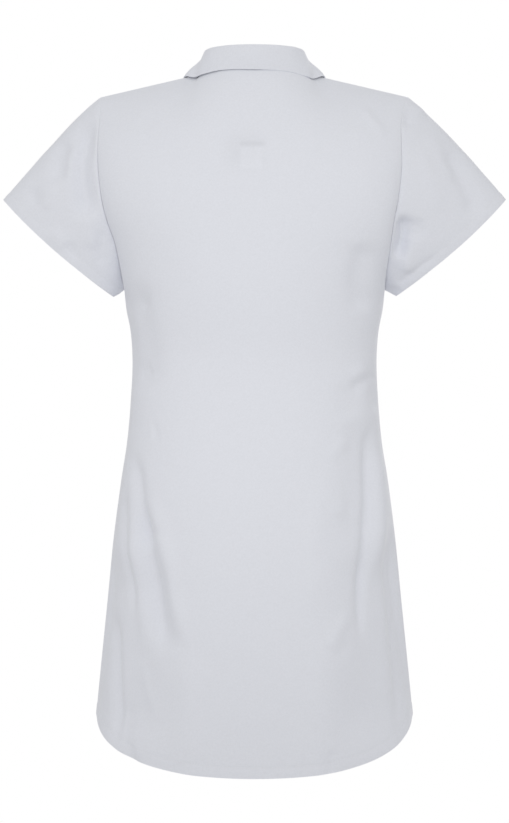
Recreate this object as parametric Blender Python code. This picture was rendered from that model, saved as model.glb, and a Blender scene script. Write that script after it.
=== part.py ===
"""A short-sleeved medical coat, filled out as if worn, each cut piece a thin closed wall.

+Z is up, the front faces -Y and the wearer's left is +X. The origin lies midway between
the neck ends of the two shoulder seams. Sizes are in millimetres, and MM makes them metres.
"""

import math
from bisect import bisect_right
from collections import namedtuple

import bmesh
import bpy
from mathutils import Vector

MM = 0.001

# Cloth
WALL = 1.4
SEAM_GAP = 0.3
LAYER_GAP = 0.5

# Body
UNDERARM_Z = -281.0
HEM_SIDE_Z = -829.0
HEM_DROP = 57.0
HEM_SIDE_ROUNDING = 0.2
HEM_ARC_POWER = 0.75
HEM_DROP_SPREAD = 1.4
SECTION_POWER = 2.2
SIDEWAYS_SHARE = 0.6
FRONT_OVERLAP = 20.0
TUCK_DEPTH = 5.9
TUCK_START_X = 24.0
TUCK_END_X = 52.0
TUCK_TOP_Z = -170.0
TUCK_FADE = 50.0

# Neck and shoulders
NECK_HALF_WIDTH = 70.0
NECK_BACK_Y = 66.0
NECK_BACK_Z = -3.0
NECK_POINT = (70.0, 6.0, -1.0)
SHOULDER_TIP = (199.0, 0.0, -30.0)
NECK_SHARE = 0.42
TOP_BLEND = 3.0
SIDE_BLEND = 1.4
SHOULDER_NORMAL = (0.22, 0.0, 0.975)

# Sleeves
CUFF_TOP = (326.0, 0.0, -164.0)
CUFF_BOTTOM = (184.0, 0.0, -289.0)
CUFF_HALF_DEPTH = 42.0
CUFF_BOW = 7.0
SLEEVE_FULLNESS = 5.0
SLEEVE_FULL_EARLY = 0.7
SLEEVE_LEAN = 0.75
SLEEVE_SETBACK = 0.55

# Collar
COLLAR_ROLL = 3.0
COLLAR_ROLL_STEPS = 4
COLLAR_SEAT = 0.75
COLLAR_FALL_SHARES = (0.33, 0.67, 1.0)
COLLAR_BOW = 1.5
COLLAR_BOW_FRONT = 4.0
COLLAR_BOW_START = 0.3
COLLAR_BOW_SPAN = 0.4
COLLAR_END_SHARE = 0.8
COLLAR_TIP = (0.35, 1.715)

# Lapels: places on a front are (u, level), as front_point takes them
GORGE_INNER = (0.0, 1.66)
GORGE_OUTER = (0.22, 1.645)
GORGE_GAP_LEVEL = 0.0013
LAPEL_TIP = (0.40, 1.60)
LAPEL_START = 0.06
LAPEL_EDGE_POWER = 0.85
LAPEL_LIFT = 2.2
LAPEL_CLEAR = 14.0
LAPEL_CROSSING = 16.0
LAPEL_UNDER_GAP = 0.9

# Neck label
LABEL_SIDE = 26.0
LABEL_TOP_Z = -113.0
LABEL_WALL = 1.0
LABEL_REACH = 0.085
LABEL_GAP = 1.1
LABEL_ROWS = 3
LABEL_COLUMNS = 4
HALVINGS = 30

# Buttons
BUTTON_RADIUS = 9.5
BUTTON_THICKNESS = 3.4
BUTTON_RIM = 1.8
BUTTON_DISH = 0.8
BUTTON_TOP_Z = -300.0
BUTTON_PITCH = 98.0
BUTTON_COUNT = 5
BUTTON_ROUND = 0.6
BUTTON_SEAT = 0.4
BUTTON_SLOPE_STEP = 0.01
WELD = 0.01

# Finish
SMOOTH_ANGLE = 40.0
ROUGHNESS = 0.85
COTTON = (0.83, 0.84, 0.87)
LABEL_CLOTH = (0.88, 0.88, 0.88)
BUTTON_PLASTIC = (0.86, 0.86, 0.84)

# Faces along each piece
BODY_LOWER_ROWS = 20
BODY_UPPER_ROWS = 12
BACK_COLUMNS = 28
FRONT_COLUMNS = 14
SLEEVE_ROWS = 8
LAPEL_ROWS = 9
LAPEL_COLUMNS = 6
COLLAR_STATIONS = 28
BUTTON_SIDES = 18

Section = namedtuple("Section", "z side back front")
SECTIONS = (
    Section(-281.0, 169.0, 121.0, 134.0),
    Section(-307.0, 166.4, 118.0, 130.0),
    Section(-333.0, 161.2, 113.0, 122.0),
    Section(-372.0, 158.6, 109.0, 115.0),
    Section(-424.0, 160.6, 113.0, 117.0),
    Section(-476.0, 165.1, 121.0, 123.0),
    Section(-528.0, 173.0, 130.0, 130.0),
    Section(-606.0, 183.3, 142.0, 139.0),
    Section(-684.0, 191.1, 152.0, 147.0),
    Section(-762.0, 198.9, 160.0, 153.0),
    Section(-829.0, 205.4, 166.0, 158.0),
)

Knot = namedtuple("Knot", "x y z")
CENTRE_BACK = (
    Knot(0.0, 121.0, -281.0),
    Knot(0.0, 119.0, -200.0),
    Knot(0.0, 113.0, -140.0),
    Knot(0.0, 103.0, -90.0),
    Knot(0.0, 90.0, -50.0),
    Knot(0.0, 77.0, -22.0),
    Knot(0.0, NECK_BACK_Y, NECK_BACK_Z),
)
ARMHOLE_BACK = (
    Knot(169.0, 0.0, -281.0),
    Knot(171.5, 14.0, -264.0),
    Knot(174.5, 29.0, -244.0),
    Knot(179.0, 41.0, -222.0),
    Knot(188.0, 51.0, -196.0),
    Knot(195.0, 57.0, -166.0),
    Knot(199.0, 57.0, -130.0),
    Knot(200.0, 50.0, -98.0),
    Knot(199.0, 35.0, -66.0),
    Knot(199.0, 17.0, -42.0),
    Knot(*SHOULDER_TIP),
)
ARMHOLE_FRONT = (
    Knot(169.0, 0.0, -281.0),
    Knot(169.0, -16.0, -265.0),
    Knot(169.0, -32.0, -244.0),
    Knot(170.0, -44.0, -216.0),
    Knot(174.0, -51.0, -184.0),
    Knot(179.0, -53.0, -150.0),
    Knot(185.0, -49.0, -112.0),
    Knot(191.0, -38.0, -76.0),
    Knot(196.0, -20.0, -46.0),
    Knot(*SHOULDER_TIP),
)
ROLL_LINE_ABOVE_BREAK = (
    Knot(-1.0, -135.3, -222.0),
    Knot(18.0, -127.0, -162.0),
    Knot(34.0, -106.0, -108.0),
    Knot(49.0, -77.0, -62.0),
    Knot(61.0, -38.0, -26.0),
    Knot(*NECK_POINT),
)

# The collar's stand starts on the neck seam: shares of the back neck, then of the roll line
COLLAR_NECK_SHARES = (0.0, 0.35, 0.7, 1.0)
COLLAR_ROLL_LINE_SHARES = (0.93, 0.84, 0.75)
COLLAR_FOLD = (
    Knot(0.0, 64.0, 26.0),
    Knot(32.0, 57.0, 26.5),
    Knot(52.0, 38.0, 26.5),
    Knot(60.0, 8.0, 25.0),
    Knot(60.0, -24.0, 13.0),
    Knot(54.0, -58.0, -16.0),
    Knot(46.0, -86.0, -54.0),
)
COLLAR_FOLD_END = Knot(1.5, -6.0, 3.0)

# The fall's lower edge: a place on a panel, and how far it stands off it
EdgeKnot = namedtuple("EdgeKnot", "panel u level out x y z")
COLLAR_EDGE = (
    EdgeKnot("back", 0.0, 1.97, 6.0, 0.0, 0.0, 0.0),
    EdgeKnot("back", 0.16, 1.965, 6.0, 0.0, 0.0, 0.0),
    EdgeKnot("back", 0.32, 1.955, 5.0, 0.0, 0.0, 0.0),
    EdgeKnot("back", 0.51, 2.0, 0.0, 0.0, 2.0, 4.0),
    EdgeKnot("front", 0.17, 1.93, 0.0, 2.0, -3.0, 4.0),
    EdgeKnot("front", 0.26, 1.83, 0.0, 1.0, -5.0, 2.0),
)

# Folds: how wide, how far out, and where they run; they fade at their ends and at the seams
FOLD_END_FADE = 4.0
FOLD_END_LEFT = 0.25
SEAM_FADE = 8.0
FoldLine = namedtuple("FoldLine", "reach depth path")
BACK_FOLDS = (
    FoldLine(13.0, -6.0, ((-158.0, -446.0), (-142.0, -510.0), (-136.0, -600.0), (-130.0, -690.0))),
    FoldLine(14.0, 5.0, ((-162.0, -470.0), (-160.0, -560.0), (-158.0, -640.0))),
    FoldLine(12.0, -5.0, ((-160.0, -268.0), (-146.0, -330.0))),
    FoldLine(10.0, -4.0, ((-130.0, -385.0), (-146.0, -392.0), (-158.0, -376.0))),
    FoldLine(14.0, -6.0, ((140.0, -520.0), (136.0, -590.0), (128.0, -655.0), (108.0, -720.0))),
    FoldLine(16.0, 5.0, ((118.0, -535.0), (108.0, -620.0), (82.0, -720.0))),
    FoldLine(12.0, 4.0, ((156.0, -540.0), (150.0, -640.0), (146.0, -710.0))),
    FoldLine(14.0, -6.0, ((182.0, -700.0), (176.0, -780.0), (168.0, -870.0))),
    FoldLine(13.0, -4.0, ((146.0, -755.0), (134.0, -800.0), (112.0, -850.0))),
    FoldLine(13.0, -4.0, ((130.0, -300.0), (116.0, -350.0), (140.0, -385.0))),
    FoldLine(16.0, 4.0, ((-110.0, -760.0), (-104.0, -870.0))),
)
FRONT_FOLDS = (
    FoldLine(14.0, -6.0, ((140.0, -470.0), (132.0, -560.0), (124.0, -690.0))),
    FoldLine(15.0, 5.0, ((112.0, -560.0), (100.0, -680.0), (92.0, -800.0))),
    FoldLine(13.0, -5.0, ((152.0, -290.0), (128.0, -300.0), (104.0, -280.0))),
    FoldLine(12.0, -4.0, ((150.0, -385.0), (128.0, -395.0), (110.0, -380.0))),
    FoldLine(15.0, -5.0, ((60.0, -640.0), (66.0, -740.0), (74.0, -850.0))),
)


class Curve:
    """A smooth line through its knots, read by the share of its length."""

    STEPS = 16

    def __init__(self, knots):
        knots = [Vector(k) for k in knots]
        ends = [2 * knots[0] - knots[1], *knots, 2 * knots[-1] - knots[-2]]
        self.points = [knots[0]]
        for before, start, end, after in zip(ends, ends[1:], ends[2:], ends[3:]):
            for step in range(1, self.STEPS + 1):
                t = step / self.STEPS
                bend = (end - before) * t + (2 * before - 5 * start + 4 * end - after) * t**2
                bend += (3 * start - before - 3 * end + after) * t**3
                self.points.append(start + bend / 2)
        self.lengths = [0.0]
        for a, b in zip(self.points, self.points[1:]):
            self.lengths.append(self.lengths[-1] + (b - a).length)

    def at(self, share):
        wanted = min(max(share, 0.0), 1.0) * self.lengths[-1]
        i = min(bisect_right(self.lengths, wanted), len(self.points) - 1)
        run = self.lengths[i] - self.lengths[i - 1]
        return self.points[i - 1].lerp(self.points[i], (wanted - self.lengths[i - 1]) / run)


def smooth_step(t):
    t = min(max(t, 0.0), 1.0)
    return t * t * (3 - 2 * t)


def signed_power(value, power):
    return math.copysign(abs(value) ** power, value)


def section_at(z):
    """Half-width and depths of the body at a height, on smooth lines through SECTIONS."""
    i = next((n for n, s in enumerate(SECTIONS[1:-1], 1) if z > s.z), len(SECTIONS) - 1)
    rows = [SECTIONS[max(0, min(n, len(SECTIONS) - 1))] for n in (i - 2, i - 1, i, i + 1)]
    before, start, end, after = rows
    span = end.z - start.z
    t = (z - start.z) / span
    blend = (2 * t**3 - 3 * t**2 + 1, t**3 - 2 * t**2 + t, 3 * t**2 - 2 * t**3, t**3 - t**2)
    values = []
    for name in ("side", "back", "front"):
        low, high = getattr(start, name), getattr(end, name)
        rise_in = (high - getattr(before, name)) / (end.z - before.z) * span
        rise_out = (getattr(after, name) - low) / (after.z - start.z) * span
        values.append(blend[0] * low + blend[1] * rise_in + blend[2] * high + blend[3] * rise_out)
    return values


def hem_arc(theta):
    """1 at the centre back and front, 0 at the side seams, where the hem turns smoothly."""
    r = HEM_SIDE_ROUNDING
    top = math.hypot(1.0, r) - r
    return ((math.hypot(math.cos(theta), r) - r) / top) ** HEM_ARC_POWER


def ring_point(theta, level):
    """A point below the underarm: level 0 is the hem, 1 the underarm; theta 0 is behind."""
    z = HEM_SIDE_Z + (UNDERARM_Z - HEM_SIDE_Z) * level
    side, back, front = section_at(z)
    power = 2 / SECTION_POWER
    x = side * signed_power(math.sin(theta), power)
    y = (back if math.cos(theta) > 0 else front) * signed_power(math.cos(theta), power)
    return Vector((x, y, z - HEM_DROP * hem_arc(theta) * (1 - level) ** HEM_DROP_SPREAD))


def front_edge_angle(level):
    """The angle at which a front's own edge passes the centre by FRONT_OVERLAP."""
    side = section_at(HEM_SIDE_Z + (UNDERARM_Z - HEM_SIDE_Z) * level)[0]
    return math.pi + math.asin((FRONT_OVERLAP / side) ** (SECTION_POWER / 2))


ARMHOLE_BACK_LINE = Curve(ARMHOLE_BACK)
ARMHOLE_FRONT_LINE = Curve(ARMHOLE_FRONT)
CENTRE_BACK_LINE = Curve(CENTRE_BACK)
ROLL_LINE = Curve((ring_point(front_edge_angle(1.0), 1.0), *ROLL_LINE_ABOVE_BREAK))


def neck_point(share):
    """The back neck seam: 0 at the centre back, 1 at the shoulder seam."""
    angle = share * math.pi / 2
    y = NECK_POINT[1] + (NECK_BACK_Y - NECK_POINT[1]) * math.cos(angle)
    z = NECK_BACK_Z + (NECK_POINT[2] - NECK_BACK_Z) * share
    return Vector((NECK_HALF_WIDTH * math.sin(angle), y, z))


def shoulder_point(share):
    return Vector(NECK_POINT).lerp(Vector(SHOULDER_TIP), share)


def patch(u, v, bottom, top, inner, outer):
    """A sheet between four lines, each a function of its share; u runs inner to outer."""
    lift, reach = v**TOP_BLEND, u**SIDE_BLEND
    across = bottom(u).lerp(top(u), lift)
    upward = inner(v).lerp(outer(v), reach)
    inner_run = inner(0.0).lerp(inner(1.0), lift)
    outer_run = outer(0.0).lerp(outer(1.0), lift)
    return across + upward - inner_run.lerp(outer_run, reach)


def relief(folds, x, z):
    """How far the folds raise or sink the cloth at a place."""
    total = 0.0
    for fold in folds:
        runs = [math.dist(a, b) for a, b in zip(fold.path, fold.path[1:])]
        nearest, share, before = math.inf, 0.0, 0.0
        for (x0, z0), (x1, z1), run in zip(fold.path, fold.path[1:], runs):
            t = ((x - x0) * (x1 - x0) + (z - z0) * (z1 - z0)) / run**2
            t = min(max(t, 0.0), 1.0)
            gap = math.hypot(x - x0 - t * (x1 - x0), z - z0 - t * (z1 - z0))
            if gap < nearest:
                nearest, share = gap, (before + t * run) / sum(runs)
            before += run
        fade = smooth_step(FOLD_END_FADE * min(share, 1 - share) + FOLD_END_LEFT)
        total += fold.depth * fade * math.exp(-((nearest / fold.reach) ** 2))
    return total


def outward(point, amount):
    """A point moved level and away from the upright axis of the body."""
    away = Vector((point.x * SIDEWAYS_SHARE, point.y, 0.0)).normalized()
    return point + away * amount


def back_point(u, level):
    """The back's outer face: u -1 to 1 between its side edges, level 0 hem, 1 underarm, 2 top."""
    share = abs(u)
    if level <= 1:
        point = ring_point(share * math.pi / 2, level)
    else:
        point = patch(
            share,
            level - 1,
            lambda s: ring_point(s * math.pi / 2, 1.0),
            lambda s: neck_point(s / NECK_SHARE)
            if s < NECK_SHARE
            else shoulder_point((s - NECK_SHARE) / (1 - NECK_SHARE)),
            CENTRE_BACK_LINE.at,
            ARMHOLE_BACK_LINE.at,
        )
    point.x = math.copysign(point.x, u)
    fade = smooth_step((1 - share) * SEAM_FADE)
    return outward(point, relief(BACK_FOLDS, point.x, point.z) * fade)


def front_point(u, level):
    """The left front's outer face: u 0 at its own edge or roll line, 1 at the side or armhole."""
    if level <= 1:
        edge = front_edge_angle(level)
        point = ring_point(edge + (math.pi / 2 - edge) * u, level)
    else:
        edge = front_edge_angle(1.0)
        point = patch(
            u,
            level - 1,
            lambda s: ring_point(edge + (math.pi / 2 - edge) * s, 1.0),
            shoulder_point,
            ROLL_LINE.at,
            ARMHOLE_FRONT_LINE.at,
        )
    fade = smooth_step((1 - u) * SEAM_FADE)
    return outward(point, relief(FRONT_FOLDS, point.x, point.z) * fade)


def tucked(point):
    """A point of the left front, sunk where the right front lies over it."""
    share = smooth_step((TUCK_END_X - point.x) / (TUCK_END_X - TUCK_START_X))
    share *= smooth_step((TUCK_TOP_Z - point.z) / TUCK_FADE)
    return outward(point, -TUCK_DEPTH * share)


def mirrored(point):
    return Vector((-point.x, point.y, point.z))


def body_levels():
    lower = [n / BODY_LOWER_ROWS for n in range(BODY_LOWER_ROWS)]
    return lower + [1 + n / BODY_UPPER_ROWS for n in range(BODY_UPPER_ROWS + 1)]


def back_grid():
    shares = [2 * n / BACK_COLUMNS - 1 for n in range(BACK_COLUMNS + 1)]
    return [[back_point(u, level) for u in shares] for level in body_levels()]


def front_grid(left):
    shares = [n / FRONT_COLUMNS for n in range(FRONT_COLUMNS + 1)]
    place = tucked if left else mirrored
    return [[place(front_point(u, level)) for u in shares] for level in body_levels()]


def cuff_point(angle):
    """A point of the cuff's rim: angle 0 at its top corner, half a turn at its lowest point."""
    top, bottom = Vector(CUFF_TOP), Vector(CUFF_BOTTOM)
    out = Vector((0.0, 1.0, 0.0)).cross(top - bottom).normalized()
    middle = (top + bottom) / 2 + (top - bottom) / 2 * math.cos(angle)
    depth = CUFF_HALF_DEPTH * math.sin(angle)
    return middle + Vector((0.0, depth, 0.0)) + out * CUFF_BOW * math.sin(angle) ** 2


def sleeve_grid(left):
    """Rings from the armhole to the cuff, round from the shoulder tip behind the arm."""
    shares = [n / BODY_UPPER_ROWS for n in range(BODY_UPPER_ROWS + 1)]
    armhole = [ARMHOLE_BACK_LINE.at(1 - s) for s in shares]
    armhole += [ARMHOLE_FRONT_LINE.at(s) for s in shares[1:-1]]
    angles = [math.pi * s for s in shares] + [math.pi * (1 + s) for s in shares[1:-1]]
    place = Vector if left else mirrored
    rows = []
    for step in range(SLEEVE_ROWS + 1):
        t = step / SLEEVE_ROWS
        row = []
        for start, angle in zip(armhole, angles):
            end = cuff_point(angle)
            upper = math.cos(angle / 2) ** 2
            out = Vector((SLEEVE_LEAN * upper, math.sin(angle), math.cos(angle)))
            full = SLEEVE_FULLNESS * upper * math.sin(math.pi * t**SLEEVE_FULL_EARLY)
            row.append(place(start.lerp(end, t) + out.normalized() * full))
        rows.append(row)
    return rows


def collar_section(neck, fold, edge, bow):
    """Points up the stand, over the roll and down the fall, on the side away from the body."""
    up = (fold - neck).normalized()
    across = edge - fold
    across = (across - up * across.dot(up)).normalized()
    centre = fold + (across - up) * COLLAR_ROLL
    points = [neck, neck.lerp(fold - up * COLLAR_ROLL, 0.5)]
    for step in range(COLLAR_ROLL_STEPS + 1):
        turn = math.pi * step / COLLAR_ROLL_STEPS
        points.append(centre + (up * math.sin(turn) - across * math.cos(turn)) * COLLAR_ROLL)
    start = points[-1]
    for share in COLLAR_FALL_SHARES:
        bulge = bow * math.sin(math.pi * share)
        points.append(start.lerp(edge, share) + across * bulge)
    return points


def collar_rails():
    """The collar's neck seam, roll and lower edge, each from the centre back to its end."""
    gorge = ROLL_LINE.at(GORGE_INNER[1] - 1 + 2 * GORGE_GAP_LEVEL)
    neck = [neck_point(share) for share in COLLAR_NECK_SHARES]
    neck += [*(ROLL_LINE.at(share) for share in COLLAR_ROLL_LINE_SHARES), gorge]
    fold = [*COLLAR_FOLD, gorge + Vector(COLLAR_FOLD_END)]
    edge = []
    for knot in COLLAR_EDGE:
        panel = back_point if knot.panel == "back" else front_point
        place = outward(panel(knot.u, knot.level), knot.out)
        edge.append(place + Vector((knot.x, knot.y, knot.z)))
    edge.append(lapel_layer(*COLLAR_TIP))
    seat = Vector((0.0, 0.0, COLLAR_SEAT))
    return Curve([point + seat for point in neck]), Curve(fold), Curve(edge)


def lapel_layer(u, level):
    """A point of the layer that is turned out over a front: lapels and collar points."""
    lift = WALL + LAYER_GAP + LAPEL_LIFT * math.sin(math.pi * min(u / GORGE_OUTER[0], 0.5))
    return outward(front_point(u, level), lift)


def gorge_place(share):
    """Along the seam of lapel and collar, from the roll line to the notch."""
    u = GORGE_INNER[0] + (GORGE_OUTER[0] - GORGE_INNER[0]) * share
    return u, GORGE_INNER[1] + (GORGE_OUTER[1] - GORGE_INNER[1]) * share


def collar_end(section):
    """The collar's front end: its section, with the fall laid along the gorge to the tip."""
    u_inner, level_inner = gorge_place(0.5)
    u_outer, level_outer = gorge_place(1.0)
    fall = (
        lapel_layer(u_inner, level_inner + 2 * GORGE_GAP_LEVEL),
        lapel_layer(u_outer, level_outer + 2 * GORGE_GAP_LEVEL),
        lapel_layer(*COLLAR_TIP),
    )
    return [*section[: -len(fall)], *fall]


def collar_grid():
    neck, fold, edge = collar_rails()
    stations = []
    for step in range(COLLAR_STATIONS // 2 + 1):
        share = 2 * step / COLLAR_STATIONS
        front_share = smooth_step((share - COLLAR_BOW_START) / COLLAR_BOW_SPAN)
        bow = COLLAR_BOW + COLLAR_BOW_FRONT * front_share
        stations.append(collar_section(neck.at(share), fold.at(share), edge.at(share), bow))
    moves = [end - start for start, end in zip(stations[-1], collar_end(stations[-1]))]
    for step, row in enumerate(stations):
        share = 2 * step / COLLAR_STATIONS
        pull = smooth_step((share - COLLAR_END_SHARE) / (1 - COLLAR_END_SHARE))
        stations[step] = [p + move * pull for p, move in zip(row, moves)]
    return [[mirrored(p) for p in row] for row in stations[:0:-1]] + stations


def crossing(point):
    """0 where the left lapel lies under the right front's edge, 1 where it has come out."""
    height = (point.z - UNDERARM_Z) / (NECK_POINT[2] - UNDERARM_Z)
    right_edge = FRONT_OVERLAP - (NECK_HALF_WIDTH + FRONT_OVERLAP) * height
    return smooth_step((point.x - right_edge - LAPEL_CLEAR) / LAPEL_CROSSING)


def lapel_grid(left):
    """The lapel on its front: rows from the break up to the gorge, out from the roll line."""
    rows = []
    for i in range(LAPEL_ROWS + 1):
        height = LAPEL_START + (1 - LAPEL_START) * i / LAPEL_ROWS
        row = []
        for j in range(LAPEL_COLUMNS + 1):
            across = 2 * j / LAPEL_COLUMNS
            u, level = gorge_place(min(across, 1.0))
            if across > 1:
                u += (LAPEL_TIP[0] - GORGE_OUTER[0]) * (across - 1)
                level += (LAPEL_TIP[1] - GORGE_OUTER[1]) * (across - 1)
            u *= height**LAPEL_EDGE_POWER
            level = 1 + (level - 1) * height
            point = lapel_layer(u, level)
            if left:
                plain = front_point(u, level)
                under = outward(tucked(plain), WALL + LAPEL_UNDER_GAP)
                point = under.lerp(point, crossing(plain))
            row.append(point)
        rows.append(row)
    return rows if left else [[mirrored(p) for p in row] for row in rows]


def point_key(point):
    return tuple(round(c, 3) for c in point)


def face_normals(grid, closed, flip):
    """Each grid face's outward normal, with its corners."""
    count = len(grid[0])
    for i in range(len(grid) - 1):
        for j in range(count if closed else count - 1):
            k = (j + 1) % count
            corners = (grid[i][j], grid[i][k], grid[i + 1][k], grid[i + 1][j])
            normal = (corners[2] - corners[0]).cross(corners[3] - corners[1])
            yield (-normal if flip else normal).normalized(), corners


def shared_normals(sheets):
    """One outward normal for each place, so that pieces that meet at a seam turn together."""
    sums = {}
    for grid, closed, flip in sheets:
        for normal, corners in face_normals(grid, closed, flip):
            for corner in corners:
                key = point_key(corner)
                sums[key] = sums.get(key, Vector()) + normal
    return {key: total.normalized() for key, total in sums.items()}


def wall(name, grid, normals, thickness, seams, colour, closed=False, setback=SEAM_GAP / 2):
    """A closed wall: the grid is its outer face, and the inner one lies thickness inside.

    Each edge named in seams stops short of its seam by the setback.
    """
    rows, count = len(grid), len(grid[0])
    outer = [[p.copy() for p in row] for row in grid]
    inner = [[p - normals[point_key(p)] * thickness for p in row] for row in grid]
    for i in range(rows):
        for j in range(count):
            step_i = ("start" in seams and i == 0) - ("end" in seams and i == rows - 1)
            step_j = ("first" in seams and j == 0) - ("last" in seams and j == count - 1)
            for di, dj in ((step_i, 0), (0, step_j)):
                if di or dj:
                    run = grid[i + di][(j + dj) % count] - grid[i][j]
                    move = run.normalized() * min(setback, run.length / 2)
                    outer[i][j] += move
                    inner[i][j] += move
    mesh = bpy.data.meshes.new(name)
    bm = bmesh.new()
    layers = [[[bm.verts.new(p * MM) for p in row] for row in side] for side in (outer, inner)]
    spans = [(j, (j + 1) % count) for j in range(count if closed else count - 1)]
    for layer in layers:
        for i in range(rows - 1):
            for j, k in spans:
                bm.faces.new((layer[i][j], layer[i][k], layer[i + 1][k], layer[i + 1][j]))
    rims = [(i, a, i, b) for i in (0, rows - 1) for a, b in spans]
    if not closed:
        rims += [(i, j, i + 1, j) for j in (0, count - 1) for i in range(rows - 1)]
    for rim in rims:
        add_rim(bm, layers, rim)
    bmesh.ops.recalc_face_normals(bm, faces=bm.faces)
    bm.to_mesh(mesh)
    bm.free()
    return add_object(name, mesh, colour)


def add_rim(bm, layers, rim):
    """Two triangles from the outer to the inner face, split alike on both sides of a seam."""
    i, j, k, m = rim
    low, high = ((i, j), (k, m))
    if layers[0][i][j].co.z > layers[0][k][m].co.z:
        low, high = high, low
    outer_low, outer_high = (layers[0][a][b] for a, b in (low, high))
    inner_low, inner_high = (layers[1][a][b] for a, b in (low, high))
    bm.faces.new((outer_low, outer_high, inner_high))
    bm.faces.new((outer_low, inner_high, inner_low))


def add_object(name, mesh, colour):
    mesh.shade_smooth()
    mesh.set_sharp_from_angle(angle=math.radians(SMOOTH_ANGLE))
    obj = bpy.data.objects.new(name, mesh)
    bpy.context.scene.collection.objects.link(obj)
    material = bpy.data.materials.new(name)
    material.use_nodes = True
    shader = material.node_tree.nodes["Principled BSDF"]
    shader.inputs["Base Color"].default_value = (*colour, 1.0)
    shader.inputs["Roughness"].default_value = ROUGHNESS
    obj.data.materials.append(material)
    return obj


def build_body():
    """The back, the fronts and the sleeves, which share their seams."""
    back, left, right = back_grid(), front_grid(True), front_grid(False)
    sleeve_left, sleeve_right = sleeve_grid(True), sleeve_grid(False)
    normals = shared_normals(
        (
            (back, False, True),
            (left, False, False),
            (right, False, True),
            (sleeve_left, True, True),
            (sleeve_right, True, False),
        )
    )
    ridge = Vector(SHOULDER_NORMAL)
    for point in (*back[-1], *left[-1], *right[-1]):
        if abs(point.x) > NECK_HALF_WIDTH - WELD:
            normals[point_key(point)] = ridge if point.x > 0 else mirrored(ridge)
    wall("back", back, normals, WALL, ("first", "last", "end"), COTTON)
    wall("front_left", left, normals, WALL, ("last", "end"), COTTON)
    wall("front_right", right, normals, WALL, ("last", "end"), COTTON)
    for name, grid in (("sleeve_left", sleeve_left), ("sleeve_right", sleeve_right)):
        wall(name, grid, normals, WALL, ("start",), COTTON, closed=True, setback=SLEEVE_SETBACK)


def build_lapels():
    for name, left in (("lapel_left", True), ("lapel_right", False)):
        grid = lapel_grid(left)
        wall(name, grid, shared_normals([(grid, False, not left)]), WALL, (), COTTON)


def build_label():
    """A bare tab sewn inside the centre back, its face just inside the cloth."""
    rows = []
    for n in range(LABEL_ROWS + 1):
        height = LABEL_TOP_Z - LABEL_SIDE * (1 - n / LABEL_ROWS)
        level = 1 + share_at_height(CENTRE_BACK_LINE, height)
        row = []
        for m in range(LABEL_COLUMNS + 1):
            x = LABEL_SIDE * (m / LABEL_COLUMNS - 0.5)
            point = back_point(x / LABEL_SIDE * LABEL_REACH, level)
            row.append(outward(Vector((x, point.y, height)), -WALL - LABEL_GAP))
        rows.append(row)
    wall("neck_label", rows, shared_normals([(rows, False, True)]), LABEL_WALL, (), LABEL_CLOTH)


def share_at_height(curve, height):
    """How far along an upright curve a height lies."""
    low, high = 0.0, 1.0
    for _ in range(HALVINGS):
        middle = (low + high) / 2
        low, high = (middle, high) if curve.at(middle).z < height else (low, middle)
    return low


def button_profile():
    """Half of a button's section, as (radius, height), from its back's centre to its dish."""
    rim, face = BUTTON_RADIUS - BUTTON_RIM, BUTTON_THICKNESS - BUTTON_DISH
    return (
        (0.0, 0.0),
        (BUTTON_RADIUS - BUTTON_ROUND, 0.0),
        (BUTTON_RADIUS, BUTTON_ROUND),
        (BUTTON_RADIUS, BUTTON_THICKNESS - BUTTON_ROUND),
        (BUTTON_RADIUS - BUTTON_ROUND, BUTTON_THICKNESS),
        (rim, BUTTON_THICKNESS),
        (rim - BUTTON_DISH, face),
        (0.0, face),
    )


def build_button(name, height):
    """A dished round button on the centre front, square to the cloth under it."""
    level = (height - HEM_SIDE_Z) / (UNDERARM_Z - HEM_SIDE_Z)
    seat = ring_point(math.pi, level)
    above = ring_point(math.pi, level + BUTTON_SLOPE_STEP)
    slope = above - ring_point(math.pi, level - BUTTON_SLOPE_STEP)
    normal = Vector((1.0, 0.0, 0.0)).cross(slope).normalized()
    mesh = bpy.data.meshes.new(name)
    bm = bmesh.new()
    profile = [bm.verts.new((r * MM, 0.0, h * MM)) for r, h in button_profile()]
    edges = [bm.edges.new(pair) for pair in zip(profile, profile[1:])]
    bmesh.ops.spin(
        bm,
        geom=profile + edges,
        axis=(0.0, 0.0, 1.0),
        cent=(0.0, 0.0, 0.0),
        steps=BUTTON_SIDES,
        angle=2 * math.pi,
    )
    bmesh.ops.remove_doubles(bm, verts=bm.verts, dist=WELD * MM)
    bmesh.ops.recalc_face_normals(bm, faces=bm.faces)
    bm.to_mesh(mesh)
    bm.free()
    obj = add_object(name, mesh, BUTTON_PLASTIC)
    obj.location = (seat + normal * BUTTON_SEAT) * MM
    obj.rotation_euler = normal.to_track_quat("Z", "X").to_euler()


def build_collar():
    grid = collar_grid()
    wall("collar", grid, shared_normals([(grid, False, True)]), WALL, (), COTTON)


def main():
    for obj in list(bpy.data.objects):
        bpy.data.objects.remove(obj)
    build_body()
    build_lapels()
    build_collar()
    build_label()
    for n in range(BUTTON_COUNT):
        build_button(f"button_{n + 1}", BUTTON_TOP_Z - BUTTON_PITCH * n)


main()
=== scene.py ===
"""Finishes a short-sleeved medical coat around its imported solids.

+Z is up, the front faces -Y and the wearer's left is +X. The coat's constants and tables are in
millimetres and degrees, in the frame of the solids, whose origin lies midway between the neck ends
of the shoulder seams. Settings, the prints, the finishes and the stage are in metres.
"""

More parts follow.
